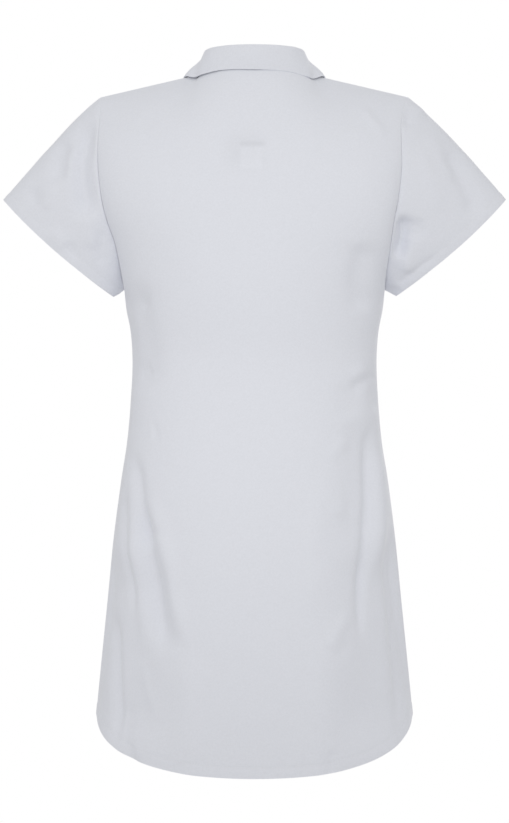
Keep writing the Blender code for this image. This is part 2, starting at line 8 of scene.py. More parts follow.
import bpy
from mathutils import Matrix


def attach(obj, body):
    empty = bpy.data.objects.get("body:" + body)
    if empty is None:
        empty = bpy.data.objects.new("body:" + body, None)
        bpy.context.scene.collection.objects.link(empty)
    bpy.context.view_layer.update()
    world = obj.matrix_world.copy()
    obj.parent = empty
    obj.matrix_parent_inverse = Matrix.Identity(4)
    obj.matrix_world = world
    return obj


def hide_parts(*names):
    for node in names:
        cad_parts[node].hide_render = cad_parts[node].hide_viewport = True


bl_info = {
    "name": "Medical Coat",
    "version": (1, 0, 0),
    "blender": (4, 5, 0),
    "location": "View3D > Sidebar > Coat",
    "description": "Finishes a medical coat: cloth, collar, buttons, stitching and stage",
    "category": "Object",
}

import math
from collections import namedtuple

import bpy
import numpy as np
from mathutils import Vector, noise

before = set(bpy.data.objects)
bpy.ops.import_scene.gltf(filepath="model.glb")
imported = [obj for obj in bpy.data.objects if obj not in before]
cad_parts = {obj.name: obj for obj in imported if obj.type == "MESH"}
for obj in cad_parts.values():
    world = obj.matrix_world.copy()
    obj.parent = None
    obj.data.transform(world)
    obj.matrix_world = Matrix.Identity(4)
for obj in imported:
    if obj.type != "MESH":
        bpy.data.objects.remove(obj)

MM = 0.001
BODY = "root"

# Body
UNDERARM_Z = -281.0
HEM_SIDE_Z = -829.0
HEM_DROP = 57.0
HEM_SIDE_ROUNDING = 0.2
HEM_ARC_POWER = 0.75
HEM_DROP_SPREAD = 1.4
SECTION_POWER = 2.2
SIDEWAYS_SHARE = 0.6
FRONT_OVERLAP = 20.0
TUCK_DEPTH = 5.9
TUCK_START_X = 24.0
TUCK_END_X = 52.0
TUCK_TOP_Z = -170.0
TUCK_FADE = 50.0

# Neck and shoulders
NECK_HALF_WIDTH = 70.0
NECK_BACK_Y = 66.0
NECK_BACK_Z = -3.0
NECK_POINT = (70.0, 6.0, -1.0)
SHOULDER_TIP = (199.0, 0.0, -30.0)
NECK_SHARE = 0.42
TOP_BLEND = 3.0
SIDE_BLEND = 1.4
TOP_EASE = 0.2
EASE_SAMPLES = (-1.0, -0.75, -0.5, -0.25, 0.0, 0.25, 0.5, 0.75, 1.0)
SIDEWAYS = (1, 0, 0)

# Sleeves
CUFF_TOP = (326.0, 0.0, -164.0)
CUFF_BOTTOM = (184.0, 0.0, -289.0)
CUFF_HALF_DEPTH = 42.0
CUFF_BOW = 5.5
SLEEVE_FULLNESS = 5.0
SLEEVE_FULL_EARLY = 0.7
SLEEVE_LEAN = 0.75

# Collar and lapels
STACK = 1.9
COLLAR_ROLL = 3.0
COLLAR_ROLL_END = 1.7
COLLAR_TILT = 1.6
COLLAR_SEAT = 0.4
COLLAR_BOW = 1.5
COLLAR_BOW_FRONT = 4.0
COLLAR_BOW_START = 0.3
COLLAR_BOW_SPAN = 0.4
COLLAR_END_SHARE = 0.8
COLLAR_TIP = (0.35, 1.715)
GORGE_INNER = (0.0, 1.66)
GORGE_OUTER = (0.22, 1.645)
GORGE_GAP_LEVEL = 0.0006
LAPEL_TIP = (0.40, 1.60)
LAPEL_START = 0.006
LAPEL_EDGE_POWER = 0.85
LAPEL_LIFT = 2.2
LAPEL_CLEAR = 14.0
LAPEL_CROSSING = 16.0
LAPEL_ROLL = 2.2
LAPEL_END = 0.3
LAPEL_END_LEFT = 0.12
FACING_SHOWN = 9.0

# Neck label
LABEL_SIDE = 26.0
LABEL_TOP_Z = -113.0
LABEL_REACH = 0.085
LABEL_GAP = 0.6
LABEL_THICKNESS = 0.6

# Buttons
BUTTON_RADIUS = 9.5
BUTTON_THICKNESS = 3.4
BUTTON_HEIGHTS = (-300.0, -398.0, -496.0, -594.0, -692.0)
BUTTON_SEAT = 0.35
SPOT_STEP = 6.0
# width of each ring that is inset in its face, and how far it sinks
BUTTON_FACE = ((1.9, 0.0), (0.7, 0.9), (2.2, 0.1))
BUTTON_HOLE_OFF = 1.6
BUTTON_HOLE_RADIUS = 0.85
BUTTON_RIM = 0.6
BUTTON_RIM_ANGLE = 35
DRILL_LENGTH = 12.0
DRILL_MIDDLE_Z = 2.0
FACING_UP = 0.9

Section = namedtuple("Section", "z side back front")
SECTIONS = np.array(
    (
        Section(-281, 169, 121, 134),
        Section(-307, 166.4, 118, 130),
        Section(-333, 161.2, 113, 122),
        Section(-372, 158.6, 109, 115),
        Section(-424, 160.6, 113, 117),
        Section(-476, 165.1, 121, 123),
        Section(-528, 173, 130, 130),
        Section(-606, 183.3, 142, 139),
        Section(-684, 191.1, 152, 147),
        Section(-762, 198.9, 160, 153),
        Section(-829, 205.4, 166, 158),
    )
)

Knot = namedtuple("Knot", "x y z")


def knot_rows(*rows):
    return tuple(Knot(*row) for row in rows)


CENTRE_BACK = knot_rows(
    (0, 121, -281),
    (0, 119, -200),
    (0, 113, -140),
    (0, 103, -90),
    (0, 90, -50),
    (0, 77, -22),
    (0, NECK_BACK_Y, NECK_BACK_Z),
)
ARMHOLE_BACK = knot_rows(
    (169, 0, -281),
    (171.5, 14, -264),
    (174.5, 29, -244),
    (179, 41, -222),
    (188, 51, -196),
    (195, 57, -166),
    (199, 57, -130),
    (200, 50, -98),
    (199, 35, -66),
    (199, 17, -42),
    SHOULDER_TIP,
)
ARMHOLE_BACK_RIGHT = knot_rows(
    (169, 0, -281),
    (169, 26, -264),
    (171, 44, -244),
    (173.5, 59, -222),
    (177, 70, -196),
    (182.5, 74, -166),
    (186.5, 69.5, -130),
    (187, 60, -98),
    (188, 40.5, -66),
    (193.5, 18.5, -42),
    SHOULDER_TIP,
)
ARMHOLE_FRONT = knot_rows(
    (169, 0, -281),
    (169, -16, -265),
    (169, -32, -244),
    (170, -44, -216),
    (174, -51, -184),
    (179, -53, -150),
    (185, -49, -112),
    (191, -38, -76),
    (196, -20, -46),
    SHOULDER_TIP,
)
ROLL_LINE_ABOVE_BREAK = knot_rows(
    (-1, -135.3, -222),
    (18, -127, -162),
    (34, -106, -108),
    (49, -77, -62),
    (61, -38, -26),
    NECK_POINT,
)
COLLAR_NECK_SHARES = (0.0, 0.35, 0.7, 1.0)
COLLAR_ROLL_LINE_SHARES = (0.93, 0.84, 0.75)
COLLAR_FOLD = knot_rows(
    (0, 64, 26),
    (32, 57, 26.5),
    (52, 38, 26.5),
    (60, 8, 25),
    (60, -24, 13),
    (54, -58, -16),
    (46, -86, -54),
)
COLLAR_FOLD_END = Knot(-1.0, -3.4, 1.6)
EdgeKnot = namedtuple("EdgeKnot", "panel u level out")
COLLAR_EDGE = (
    EdgeKnot("back", 0, 1.985, 1.7),
    EdgeKnot("back", 0.16, 1.982, 1.7),
    EdgeKnot("back", 0.3, 1.968, 1.8),
    EdgeKnot("back", 0.41, 1.965, 2.2),
    EdgeKnot("back", 0.51, 2, 2.5),
    EdgeKnot("front", 0.17, 1.955, 1.9),
    EdgeKnot("front", 0.19, 1.91, 1.7),
    EdgeKnot("front", 0.23, 1.865, 1.8),
    EdgeKnot("front", 0.27, 1.82, 2.2),
    EdgeKnot("front", 0.31, 1.767, 3),
)

Fold = namedtuple("Fold", "reach height lean path")


def fold_rows(*rows):
    """Half-width, height (below 0 a trough), lean of one flank, then x and z of each place."""
    return tuple(Fold(*row[:3], tuple(zip(row[3::2], row[4::2]))) for row in rows)


FOLD_END_FADE = 4.0
FOLD_END_LEFT = 0.1
SEAM_FADE = 26.0
BACK_FOLDS = fold_rows(
    # wearer's left, from the underarm to the hem
    (22, -6.4, 0.2, 158, -270, 148, -320, 142, -364, 146, -420),
    (9, -1.8, 0.2, 150, -300, 136, -306),
    (8, -1.8, 0, 150, -391, 134, -384),
    (10, -1.6, 0, 130, -464, 120, -462),
    (8, -5.6, 0.4, 154, -492, 149, -520, 145, -556, 142, -590, 137, -616),
    (15, -12, 0.5, 150, -548, 145, -590, 139, -622, 134, -650, 130, -676, 123, -704, 110, -742),
    (44, -13, 0.3, 160, -610, 164, -720, 160, -800, 156, -862),
    (5, -2, 0, 136, -588, 124, -587, 108, -594),
    (10, 4.4, 0, 131, -540, 120, -584, 108, -626, 101, -669, 92, -704, 75, -730),
    (20, 3.6, 0.2, 90, -720, 84, -780, 80, -860, 80, -990),
    (5, -3.6, 0.2, 166, -530, 165.5, -581, 165, -640, 163, -694),
    (8, 2.4, 0, 155, -540, 154, -650, 146, -740),
    (5.5, -6.4, 0.4, 188, -690, 185, -740, 182, -790, 179, -830, 177, -862),
    (9, -2.6, 0, 168, -800, 162, -850, 150, -890),
    (7, 1.6, 0, 150, -748, 138, -790, 122, -822),
    (6, -1.6, 0, 158, -850, 146, -892),
    # wearer's right, from the underarm to the hem
    (16, -5.6, -0.3, -140, -226, -132, -281, -144, -314),
    (7, -3.8, 0.3, -122, -412, -134, -404, -149, -398, -158, -390),
    (8, 2.4, 0, -122, -396, -144, -382),
    (15, -2.4, -0.3, -118, -402, -122, -448),
    (6, -3, 0, -152, -404, -156, -438),
    (8, -8, -0.4, -156, -448, -150, -476, -149.5, -510, -150, -552, -147, -590, -144, -624, -141,
     -668, -140, -728),
    (26, -6, -0.5, -140, -440, -138, -530, -136, -620),
    (44, -14, -0.3, -160, -590, -166, -720, -162, -800, -158, -866),
    (8, 3, 0, -160, -478, -163, -568, -158, -664),
    (7, -6.5, -0.2, -174, -560, -179, -610, -185, -680, -190, -759, -192, -800, -189, -856),
    (8, 2.4, 0, -93, -496, -120, -472),
    (8, 1.8, 0, -94, -566, -116, -556),
    (18, 2.6, 0, -86, -520, -74, -600, -78, -690),
    (8, 2.6, 0, -90, -733, -105, -708, -122, -689),
    (7, -1.4, 0, -101, -743, -120, -724),
    (5, -2.4, 0.2, -93, -852, -89, -886),
    (24, 4, -0.2, -92, -700, -88, -780, -86, -880, -84, -990),
    # across the shoulders
    (15, -1.2, 0, 143, -66, 130, -84),
    (15, -1.2, 0, -120, -62, -134, -80),
    (7, 2.4, 0, -136, -50, -166, -92),
    (14, 1.2, 0, 110, -36, 150, -52),
    (30, -1.4, 0, 60, -105, -20, -88, -70, -100),
    # fullness below the collar seam
    (2.6, 0.9, 0, 9, -14, 9.5, -25),
    (2.6, 0.9, 0, -17, -14, -17.5, -24),
    (2.6, 0.8, 0, -26, -14, -26, -25),
    (2.6, 0.6, 0, 31, -14, 32, -22),
    # the label sewn inside prints through: its folded top and its body
    (2.4, -0.9, 0, -15, -105.5, 19, -104),
    (4, -0.5, 0, 27, -106, 28, -122),
    (4, -0.5, 0, -13, -108, -14, -128),
)
FRONT_FOLDS = fold_rows(
    (12, -5.4, 0.4, 146, -470, 136, -560, 130, -640, 118, -700),
    (15, 3.4, 0, 112, -560, 100, -680, 92, -800),
    (11, -4.2, 0.3, 152, -292, 128, -300, 104, -282),
    (9, -3.4, 0.2, 150, -385, 128, -395, 110, -380),
    (7, -2.4, 0, 146, -408, 132, -420, 112, -418),
    (13, -4.4, -0.4, 60, -640, 66, -740, 74, -850),
    (11, 2.6, 0, 46, -620, 44, -740, 46, -860),
    (6, -2.6, 0.3, 170, -640, 172, -720, 168, -800),
    (9, 2, 0, 156, -600, 152, -700, 146, -800),
    (7, -1.8, 0, 136, -760, 122, -800, 106, -830),
    (9, 2, 0, 150, -244, 120, -262, 86, -264),
    (7, -1.8, -0.2, 162, -214, 140, -232, 110, -240),
    (9, -1.6, 0, 160, -120, 150, -150, 152, -180),
    (16, 1.6, 0, 118, -60, 122, -120),
    (8, -1.4, 0, 84, -444, 64, -452),
    (8, -1.4, 0, 70, -520, 48, -534),
)
SLEEVE_FOLDS_BACK_LEFT = fold_rows(
    (13, -12, 0, 214, -58, 219, -100, 222, -130, 217, -160, 211, -196),
    (10, -7, 0, 243, -86, 250, -112, 253, -146),
    (5, 2.4, 0, 229, -88, 235, -118, 238, -150),
    (10, 2, 0, 258, -150, 268, -180),
    (8, -3.2, 0, 286, -150, 280, -176),
    (9, 2.8, 0, 262, -206, 242, -230),
    (6, -2, 0, 238, -222, 228, -246),
    (12, 2.6, 0, 214, -186, 206, -232),
    (7, -2, 0, 198, -206, 196, -252),
)
SLEEVE_FOLDS_BACK_RIGHT = fold_rows(
    (12, -6.4, -0.3, -246, -98, -260, -124, -277, -158, -289, -192),
    (9, -4, 0, -188, -50, -198, -74),
    (10, 2.4, 0, -222, -80, -240, -112, -257, -144),
    (12, 3, 0, -212, -38, -222, -52),
    (10, 1.8, 0, -214, -92, -222, -140, -240, -190),
    (9, -15, 0, -190, -190, -189, -216, -184, -246),
    (11, -4, 0, -202, -194, -204, -222),
    (9, 4.4, 0, -190, -228, -196, -250, -192, -262),
    (4.5, -2, 0, -178, -268, -190, -270, -204, -260, -234, -238),
    (3.5, -1.8, 0, -176, -280, -190, -284),
    (9, -1.6, 0, -206, -200, -214, -214),
)
SLEEVE_FOLDS_FRONT = fold_rows(
    (8, -3.2, 0.3, 206, -74, 214, -120, 232, -170),
    (10, 2.2, 0, 232, -96, 250, -150),
    (9, -2.2, 0, 262, -124, 276, -176),
    (8, -3, 0, 184, -216, 200, -236, 214, -244),
)

# Wide soft waves and small ripples, both drawn out along the height, and where each sheet's start
WAVE_SIZE = 78.0
WAVE_HEIGHT = 1.5
WAVE_STRETCH = (1.0, 1.0, 0.45)
RIPPLE_SIZE = 26.0
RIPPLE_HEIGHT = 0.35
RIPPLE_STRETCH = (1.0, 1.0, 0.7)
WAVE_SHIFTS = {
    "back": Vector((3.1, 0.0, 7.7)),
    "front_left": Vector((9.4, 2.0, 1.3)),
    "front_right": Vector((0.7, 5.0, 4.2)),
    "sleeve_left": Vector((6.6, 1.0, 2.2)),
    "sleeve_right": Vector((1.6, 8.0, 3.2)),
}

# Rows and columns: distances from an edge in millimetres, then the even spacing
HEM_ROWS = (0.0, 0.8, 2.0, 5.0, 9.0, 12.0, 13.2, 14.4, 17.0)
HEM_STITCH = 13.2
SEAM_COLUMNS = (0.0, 0.9, 2.0, 3.4, 5.2)
EDGE_COLUMNS = (0.0, 0.8, 2.0, 4.6, 6.0, 7.4)
EDGE_STITCH = 6.0
TOP_ROWS = (0.0, 0.9, 2.2, 4.0)
ROW_SPACING = 4.6
COLUMN_SPACING = 3.3

# How far seams and stitches pull the cloth in, what a turned hem adds, and the stitches
SEAM_DIP = 0.25
SEAM_DIP_REACH = 2.0
ARMHOLE_DIP = 0.12
ARMHOLE_DIP_Z = -150.0
ARMHOLE_DIP_FADE = 50.0
STITCH_DIP = 0.3
STITCH_DIP_REACH = 1.3
HEM_LAYERS = 0.35
STITCH_LIFT = 0.06
STITCH_SECTION = (0.55, 0.34)
STITCH_LOOK = 0.3
# rows left unstitched at the start, or at the start and the end
FRONT_TRIM = 6
LAPEL_TRIM = (3, 1)

# The label's stitches: how far in, width and height, length, from one to the next
TAPE_STITCH = (1.6, (0.4, 0.3), 1.8, 2.4)

# The bars of thread in a button's holes, each made of strands that bend down at their ends
BAR_REACH = 1.7
BAR_OFF = 1.6
BAR_STRANDS = (-0.28, 0.0, 0.28)
BAR_DEPTH = 0.75
BAR_BEND = 0.5
BAR_LEAN = 0.9
BAR_STITCHES = 9
BAR_SIZE = (0.62, 0.32, 0.32)

# Buttonholes run from start to end along x, stitched at both lips, with a bar at each end
HOLE_START = 3.0
HOLE_END = -19.0
HOLE_PITCH = 0.62
HOLE_LIP = 0.95
HOLE_LEAN = 0.05
HOLE_LIFT = 0.12
HOLE_BARS = (3.4, -19.4)
HOLE_BAR_STRANDS = (-0.35, 0.0, 0.35)
HOLE_BAR_RISE = 0.9
HOLE_BAR_LIFT = 0.16
HOLE_STITCH = (1.7, 0.66, 0.4)

# How near a sleeve's first and last columns are joined
WELD = 0.01

# Edges sharper than these angles in degrees stay sharp
CLOTH_SMOOTH = 50
THREAD_SMOOTH = 60
BUTTON_SMOOTH = 32

# A mix node's places for its two colours and its result, and the wave scale of one band a metre
MIX_FIRST, MIX_SECOND, MIX_RESULT = 6, 7, 2
WAVE_TURN = 0.314159
TINT_STOPS = (0.3, 0.7)
TAPE_WEAVE = 0.7
TAPE_CRUMPLE = 0.1
COTTON_CRUMPLE = 0.35


class CoatSizes(bpy.types.PropertyGroup):
    """Sizes that a maker would change."""

    wall: bpy.props.FloatProperty(
        name="Cloth", description="Thickness of one panel", default=0.0011, unit="LENGTH"
    )
    collar_wall: bpy.props.FloatProperty(
        name="Collar", description="Thickness of collar and lapels", default=0.0013, unit="LENGTH"
    )
    weave: bpy.props.FloatProperty(
        name="Weave", description="Distance between threads", default=0.00045, unit="LENGTH"
    )
    stitch: bpy.props.FloatProperty(
        name="Stitch", description="Length of one stitch", default=0.0026, unit="LENGTH"
    )
    stitch_pitch: bpy.props.FloatProperty(
        name="Stitch pitch", description="From stitch to stitch", default=0.0033, unit="LENGTH"
    )


class CoatColours(bpy.types.PropertyGroup):
    """Colours of the cloth, thread and buttons."""

    cotton: bpy.props.FloatVectorProperty(
        name="Cotton", description="Colour of cloth", subtype="COLOR", default=(0.825, 0.84, 0.893)
    )
    thread: bpy.props.FloatVectorProperty(
        name="Thread", description="Colour of thread", subtype="COLOR", default=(0.86, 0.87, 0.9)
    )
    label: bpy.props.FloatVectorProperty(
        name="Label", description="Colour of label", subtype="COLOR", default=(0.88, 0.88, 0.88)
    )
    button: bpy.props.FloatVectorProperty(
        name="Button", description="Colour of buttons", subtype="COLOR", default=(0.86, 0.86, 0.84)
    )


def read_along(at, shares, points):
    """Places on a run of points, read at shares or distances along it."""
    return np.stack([np.interp(at, shares, points[:, k]) for k in range(3)], -1)


def unit(vectors):
    return vectors / np.linalg.norm(vectors, axis=-1, keepdims=True)


class Line:
    """A smooth line through its knots, read by the share of its length.

    One that starts on the middle plane and goes on as its mirror image is marked as across.
    """

    STEPS = 24

    def __init__(self, knots, across=False):
        knots = np.array([tuple(k) for k in knots], dtype=float)
        before = knots[1] * (-1, 1, 1) if across else 2 * knots[0] - knots[1]
        ends = np.vstack([before, knots, 2 * knots[-1] - knots[-2]])
        points = [knots[:1]]
        t = np.linspace(0, 1, self.STEPS + 1)[1:, None]
        for before, start, end, after in zip(ends, ends[1:], ends[2:], ends[3:]):
            bend = (end - before) * t + (2 * before - 5 * start + 4 * end - after) * t**2
            bend = bend + (3 * start - before - 3 * end + after) * t**3
            points.append(start + bend / 2)
        self.points = np.vstack(points)
        runs = np.linalg.norm(np.diff(self.points, axis=0), axis=1)
        self.shares = np.concatenate([[0.0], np.cumsum(runs)]) / runs.sum()

    def at(self, share):
        return read_along(share, self.shares, self.points)


def smooth_step(t):
    t = np.clip(t, 0.0, 1.0)
    return t * t * (3 - 2 * t)


def signed_power(value, power):
    return np.sign(value) * np.abs(value) ** power


def section_at(z):
    """Half-width and depths of the body at heights, on smooth lines through SECTIONS."""
    last = len(SECTIONS) - 1
    i = np.clip(np.searchsorted(-SECTIONS[:, 0], -z, side="left"), 1, last)
    before, start, end, after = (SECTIONS[np.clip(i + n, 0, last)] for n in (-2, -1, 0, 1))
    span = end[..., 0] - start[..., 0]
    t = ((z - start[..., 0]) / span)[..., None]
    rise_in = (end - before) * (span / (end[..., 0] - before[..., 0]))[..., None]
    rise_out = (after - start) * (span / (after[..., 0] - start[..., 0]))[..., None]
    value = (2 * t**3 - 3 * t**2 + 1) * start + (t**3 - 2 * t**2 + t) * rise_in
    value = value + (3 * t**2 - 2 * t**3) * end + (t**3 - t**2) * rise_out
    return value[..., 1], value[..., 2], value[..., 3]


def hem_arc(theta):
    """1 at the centre back and front, 0 at the side seams, where the hem turns smoothly."""
    r = HEM_SIDE_ROUNDING
    top = math.hypot(1.0, r) - r
    return ((np.hypot(np.cos(theta), r) - r) / top) ** HEM_ARC_POWER


def ring(theta, level):
    """Places below the underarm: level 0 is the hem, 1 the underarm; theta 0 is behind."""
    theta, level = np.broadcast_arrays(theta, level)
    z = HEM_SIDE_Z + (UNDERARM_Z - HEM_SIDE_Z) * level
    side, back, front = section_at(z)
    power = 2 / SECTION_POWER
    x = side * signed_power(np.sin(theta), power)
    y = np.where(np.cos(theta) > 0, back, front) * signed_power(np.cos(theta), power)
    drop = HEM_DROP * hem_arc(theta) * np.maximum(1 - level, 0) ** HEM_DROP_SPREAD
    return np.stack([x, y, z - drop], -1)


def front_edge_angle(level):
    side = section_at(HEM_SIDE_Z + (UNDERARM_Z - HEM_SIDE_Z) * level)[0]
    return math.pi + np.arcsin((FRONT_OVERLAP / side) ** (SECTION_POWER / 2))


ARMHOLE_BACK_LINE = Line(ARMHOLE_BACK)
ARMHOLE_BACK_RIGHT_LINE = Line(ARMHOLE_BACK_RIGHT)
ARMHOLE_FRONT_LINE = Line(ARMHOLE_FRONT)
CENTRE_BACK_LINE = Line(CENTRE_BACK)
BREAK_EDGE = float(front_edge_angle(np.array(1.0)))
ROLL_LINE = Line((tuple(ring(BREAK_EDGE, 1.0)), *ROLL_LINE_ABOVE_BREAK))


def neck_place(share):
    """The back neck seam: 0 at the centre back, 1 at the shoulder seam."""
    share = np.asarray(share, dtype=float)
    angle = share * math.pi / 2
    y = NECK_POINT[1] + (NECK_BACK_Y - NECK_POINT[1]) * np.cos(angle)
    z = NECK_BACK_Z + (NECK_POINT[2] - NECK_BACK_Z) * share
    return np.stack([NECK_HALF_WIDTH * np.sin(angle), y, z], -1)


def shoulder_place(share):
    share = np.asarray(share, dtype=float)[..., None]
    return np.array(NECK_POINT) + (np.array(SHOULDER_TIP) - np.array(NECK_POINT)) * share


def back_top(share):
    past = np.clip((share - NECK_SHARE) / (1 - NECK_SHARE), 0, 1)
    neck = neck_place(np.clip(share / NECK_SHARE, 0, 1))
    return np.where((share < NECK_SHARE)[..., None], neck, shoulder_place(past))


def eased_top(share, rise):
    """The back's top line for the rows below it: its corner at the neck spreads out."""
    width = TOP_EASE * np.sqrt(1 - rise) * 4 * share * (1 - share)
    places = 0
    for k in EASE_SAMPLES:
        near = share + k * width
        places = places + back_top(np.abs(near)) * np.where(near < 0, -1, 1)[..., None] ** SIDEWAYS
    return places / len(EASE_SAMPLES)


def patch(u, v, bottom, top, inner, outer):
    """A sheet between four lines, each a function of its share; u runs inner to outer."""
    lift, reach = (v**TOP_BLEND)[..., None], (u**SIDE_BLEND)[..., None]
    low, high, near, far = bottom(u), top(u), inner(v), outer(v)
    zero, one = np.zeros(()), np.ones(())
    across = low + (high - low) * lift
    upward = near + (far - near) * reach
    inner_run = inner(zero) + (inner(one) - inner(zero)) * lift
    outer_run = outer(zero) + (outer(one) - outer(zero)) * lift
    return across + upward - (inner_run + (outer_run - inner_run) * reach)


def back_form(u, level):
    """The back's plain form: u -1 to 1 between its side edges, level 0 hem, 1 underarm, 2 top."""
    u, level = np.broadcast_arrays(np.asarray(u, float), np.asarray(level, float))
    share = np.abs(u)
    rise = np.clip(level - 1, 0, 1)
    lines = (
        lambda s: ring(s * math.pi / 2, np.ones_like(s)),
        lambda s: eased_top(s, rise),
        CENTRE_BACK_LINE.at,
    )
    left, right = (
        patch(share, rise, *lines, armhole.at)
        for armhole in (ARMHOLE_BACK_LINE, ARMHOLE_BACK_RIGHT_LINE)
    )
    upper = np.where((u < 0)[..., None], right, left)
    lower = ring(share * math.pi / 2, np.minimum(level, 1))
    places = np.where((level <= 1)[..., None], lower, upper)
    places[..., 0] *= np.where(u < 0, -1, 1)
    return places


def front_form(u, level):
    """The left front's plain form: u 0 at its edge or roll line, 1 at the side or armhole."""
    u, level = np.broadcast_arrays(np.asarray(u, float), np.asarray(level, float))
    edge = front_edge_angle(np.minimum(level, 1))
    lower = ring(edge + (math.pi / 2 - edge) * u, np.minimum(level, 1))
    upper = patch(
        u,
        np.clip(level - 1, 0, 1),
        lambda s: ring(BREAK_EDGE + (math.pi / 2 - BREAK_EDGE) * s, np.ones_like(s)),
        shoulder_place,
        ROLL_LINE.at,
        ARMHOLE_FRONT_LINE.at,
    )
    return np.where((level <= 1)[..., None], lower, upper)


def outward(places, amount):
    """Places moved level and away from the upright axis of the body."""
    away = unit(places * np.array((SIDEWAYS_SHARE, 1.0, 0.0)))
    return places + away * np.asarray(amount)[..., None]


def mirrored(places):
    return places * np.array((-1.0, 1.0, 1.0))


def relief(folds, x, z):
    """How far the folds raise or sink the cloth at places."""
    total = np.zeros_like(x)
    for crease in folds:
        path = np.array(crease.path, float)
        runs = np.linalg.norm(np.diff(path, axis=0), axis=1)
        near = np.full(x.shape, 1e9)
        share, side = np.zeros_like(x), np.zeros_like(x)
        before = 0.0
        for start, end, run in zip(path, path[1:], runs):
            along = (end - start) / run
            dx, dz = x - start[0], z - start[1]
            t = np.clip(dx * along[0] + dz * along[1], 0, run)
            gap = np.hypot(dx - t * along[0], dz - t * along[1])
            closer = gap < near
            near = np.where(closer, gap, near)
            share = np.where(closer, (before + t) / runs.sum(), share)
            side = np.where(closer, dx * along[1] - dz * along[0], side)
            before += run
        fade = smooth_step(FOLD_END_FADE * np.minimum(share, 1 - share) + FOLD_END_LEFT)
        swell = 1 + crease.lean * np.clip(side / crease.reach, -2, 2)
        total += crease.height * fade * swell * np.exp(-((near / crease.reach) ** 2))
    return total


def soft_waves(places, shift):
    """Slow uneven waves and small ripples, the same on every run."""
    flat = places.reshape(-1, 3)
    wide = [noise.noise(Vector(p / WAVE_SIZE) + shift) for p in flat * WAVE_STRETCH]
    fine = [noise.noise(Vector(p / RIPPLE_SIZE) - shift) for p in flat * RIPPLE_STRETCH]
    heights = WAVE_HEIGHT * np.array(wide) + RIPPLE_HEIGHT * np.array(fine)
    return heights.reshape(places.shape[:2])


def runs_along(places, axis):
    """Distances travelled along rows or columns from their first place."""
    steps = np.linalg.norm(np.diff(places, axis=axis), axis=2)
    total = np.cumsum(steps, axis=axis)
    pad = [(0, 0), (0, 0)]
    pad[axis] = (1, 0)
    return np.pad(total, pad)


def normals_of(places, sign, closed=False):
    """Outward unit normals of a grid of places."""
    if closed:
        wrapped = np.concatenate([places[:, -2:-1], places, places[:, 1:2]], axis=1)
        across = wrapped[:, 2:] - wrapped[:, :-2]
    else:
        across = np.gradient(places, axis=1)
    normals = np.cross(across, np.gradient(places, axis=0)) * sign
    return normals / np.maximum(np.linalg.norm(normals, axis=2, keepdims=True), 1e-9)


def seam_dip(distance, z):
    """Seams sink a little; the armholes sink most low down, under the arms."""
    depth = SEAM_DIP + ARMHOLE_DIP * smooth_step((ARMHOLE_DIP_Z - z) / ARMHOLE_DIP_FADE)
    return -depth * np.exp(-((distance / SEAM_DIP_REACH) ** 2))


def stitch_dip(distance, place):
    return -STITCH_DIP * np.exp(-(((distance - place) / STITCH_DIP_REACH) ** 2))


def graded(length, spacing, start, end, count=None):
    """Shares from 0 to 1: fine steps from each end, given in millimetres, and even between.

    The length may be an array, one value for each row: then the result is a table.
    """
    length = np.atleast_1d(np.asarray(length, float))[:, None]
    low, high = start[-1], end[-1]
    if count is None:
        count = int(np.ceil((np.median(length) - low - high) / spacing))
    t = np.linspace(0, 1, count + 1)[1:-1]
    first = np.broadcast_to(start, (len(length), len(start)))
    middle = low + (length - low - high) * t
    return np.hstack([first, middle, length - np.array(end[::-1])]) / length


LEVEL_RUN_LOW = 560.0
LEVEL_RUN_HIGH = 292.0
EASE_REACH = 34.0
EASE_SEAM = 4.0
EASE_ROUNDS = 60
LENGTH_SAMPLES = 49


def body_levels():
    """Levels of the rows: close at the hem and at the top seams."""
    low = graded(LEVEL_RUN_LOW, ROW_SPACING, HEM_ROWS, (0.0,))[0]
    high = graded(LEVEL_RUN_HIGH, ROW_SPACING, (0.0,), TOP_ROWS)[0]
    return np.concatenate([low, 1 + high[1:]])


def row_lengths(form, levels):
    coarse = form(np.linspace(0, 1, LENGTH_SAMPLES)[None, :], levels[:, None])
    return runs_along(coarse, 1)[:, -1]


def hem_relief(rise, stitch=HEM_STITCH):
    """The turned hem: two more layers below its stitching, which pulls the cloth in."""
    return HEM_LAYERS * smooth_step((stitch + 1 - rise) / 2) + stitch_dip(rise, stitch)


def eased(places, levels, share):
    """The bend at the underarm's level spread over the rows around it, away from the seams."""
    away = np.where(levels < 1, (1 - levels) * LEVEL_RUN_LOW, (levels - 1) * LEVEL_RUN_HIGH)
    weight = smooth_step(2 - away / EASE_REACH)[:, None] * smooth_step(EASE_SEAM * (1 - share))
    for _ in range(EASE_ROUNDS):
        middle = (places[:-2] + places[2:]) / 2
        places[1:-1] += (middle - places[1:-1]) * weight[1:-1, :, None]
    return places


def finish_panel(name, places, folds):
    """Folds, waves, seams and hem on a panel's plain form; the back has a seam at both sides."""
    whole, sign = name == "back", sign_of(name)
    across = runs_along(places, 1)
    rise = runs_along(places, 0)
    from_top = rise[-1:] - rise
    to_seam = across[:, -1:] - across
    if whole:
        to_seam = np.minimum(to_seam, across)
    x, z = places[..., 0] * (1 if whole else sign), places[..., 2]
    amount = relief(folds, x, z) + soft_waves(places, WAVE_SHIFTS[name])
    amount *= smooth_step(to_seam / SEAM_FADE) * smooth_step(from_top / SEAM_FADE * 2)
    amount += seam_dip(to_seam, z) + seam_dip(from_top, z) + hem_relief(rise)
    if not whole:
        amount += stitch_dip(across, EDGE_STITCH)
    return places + normals_of(places, sign) * amount[..., None]


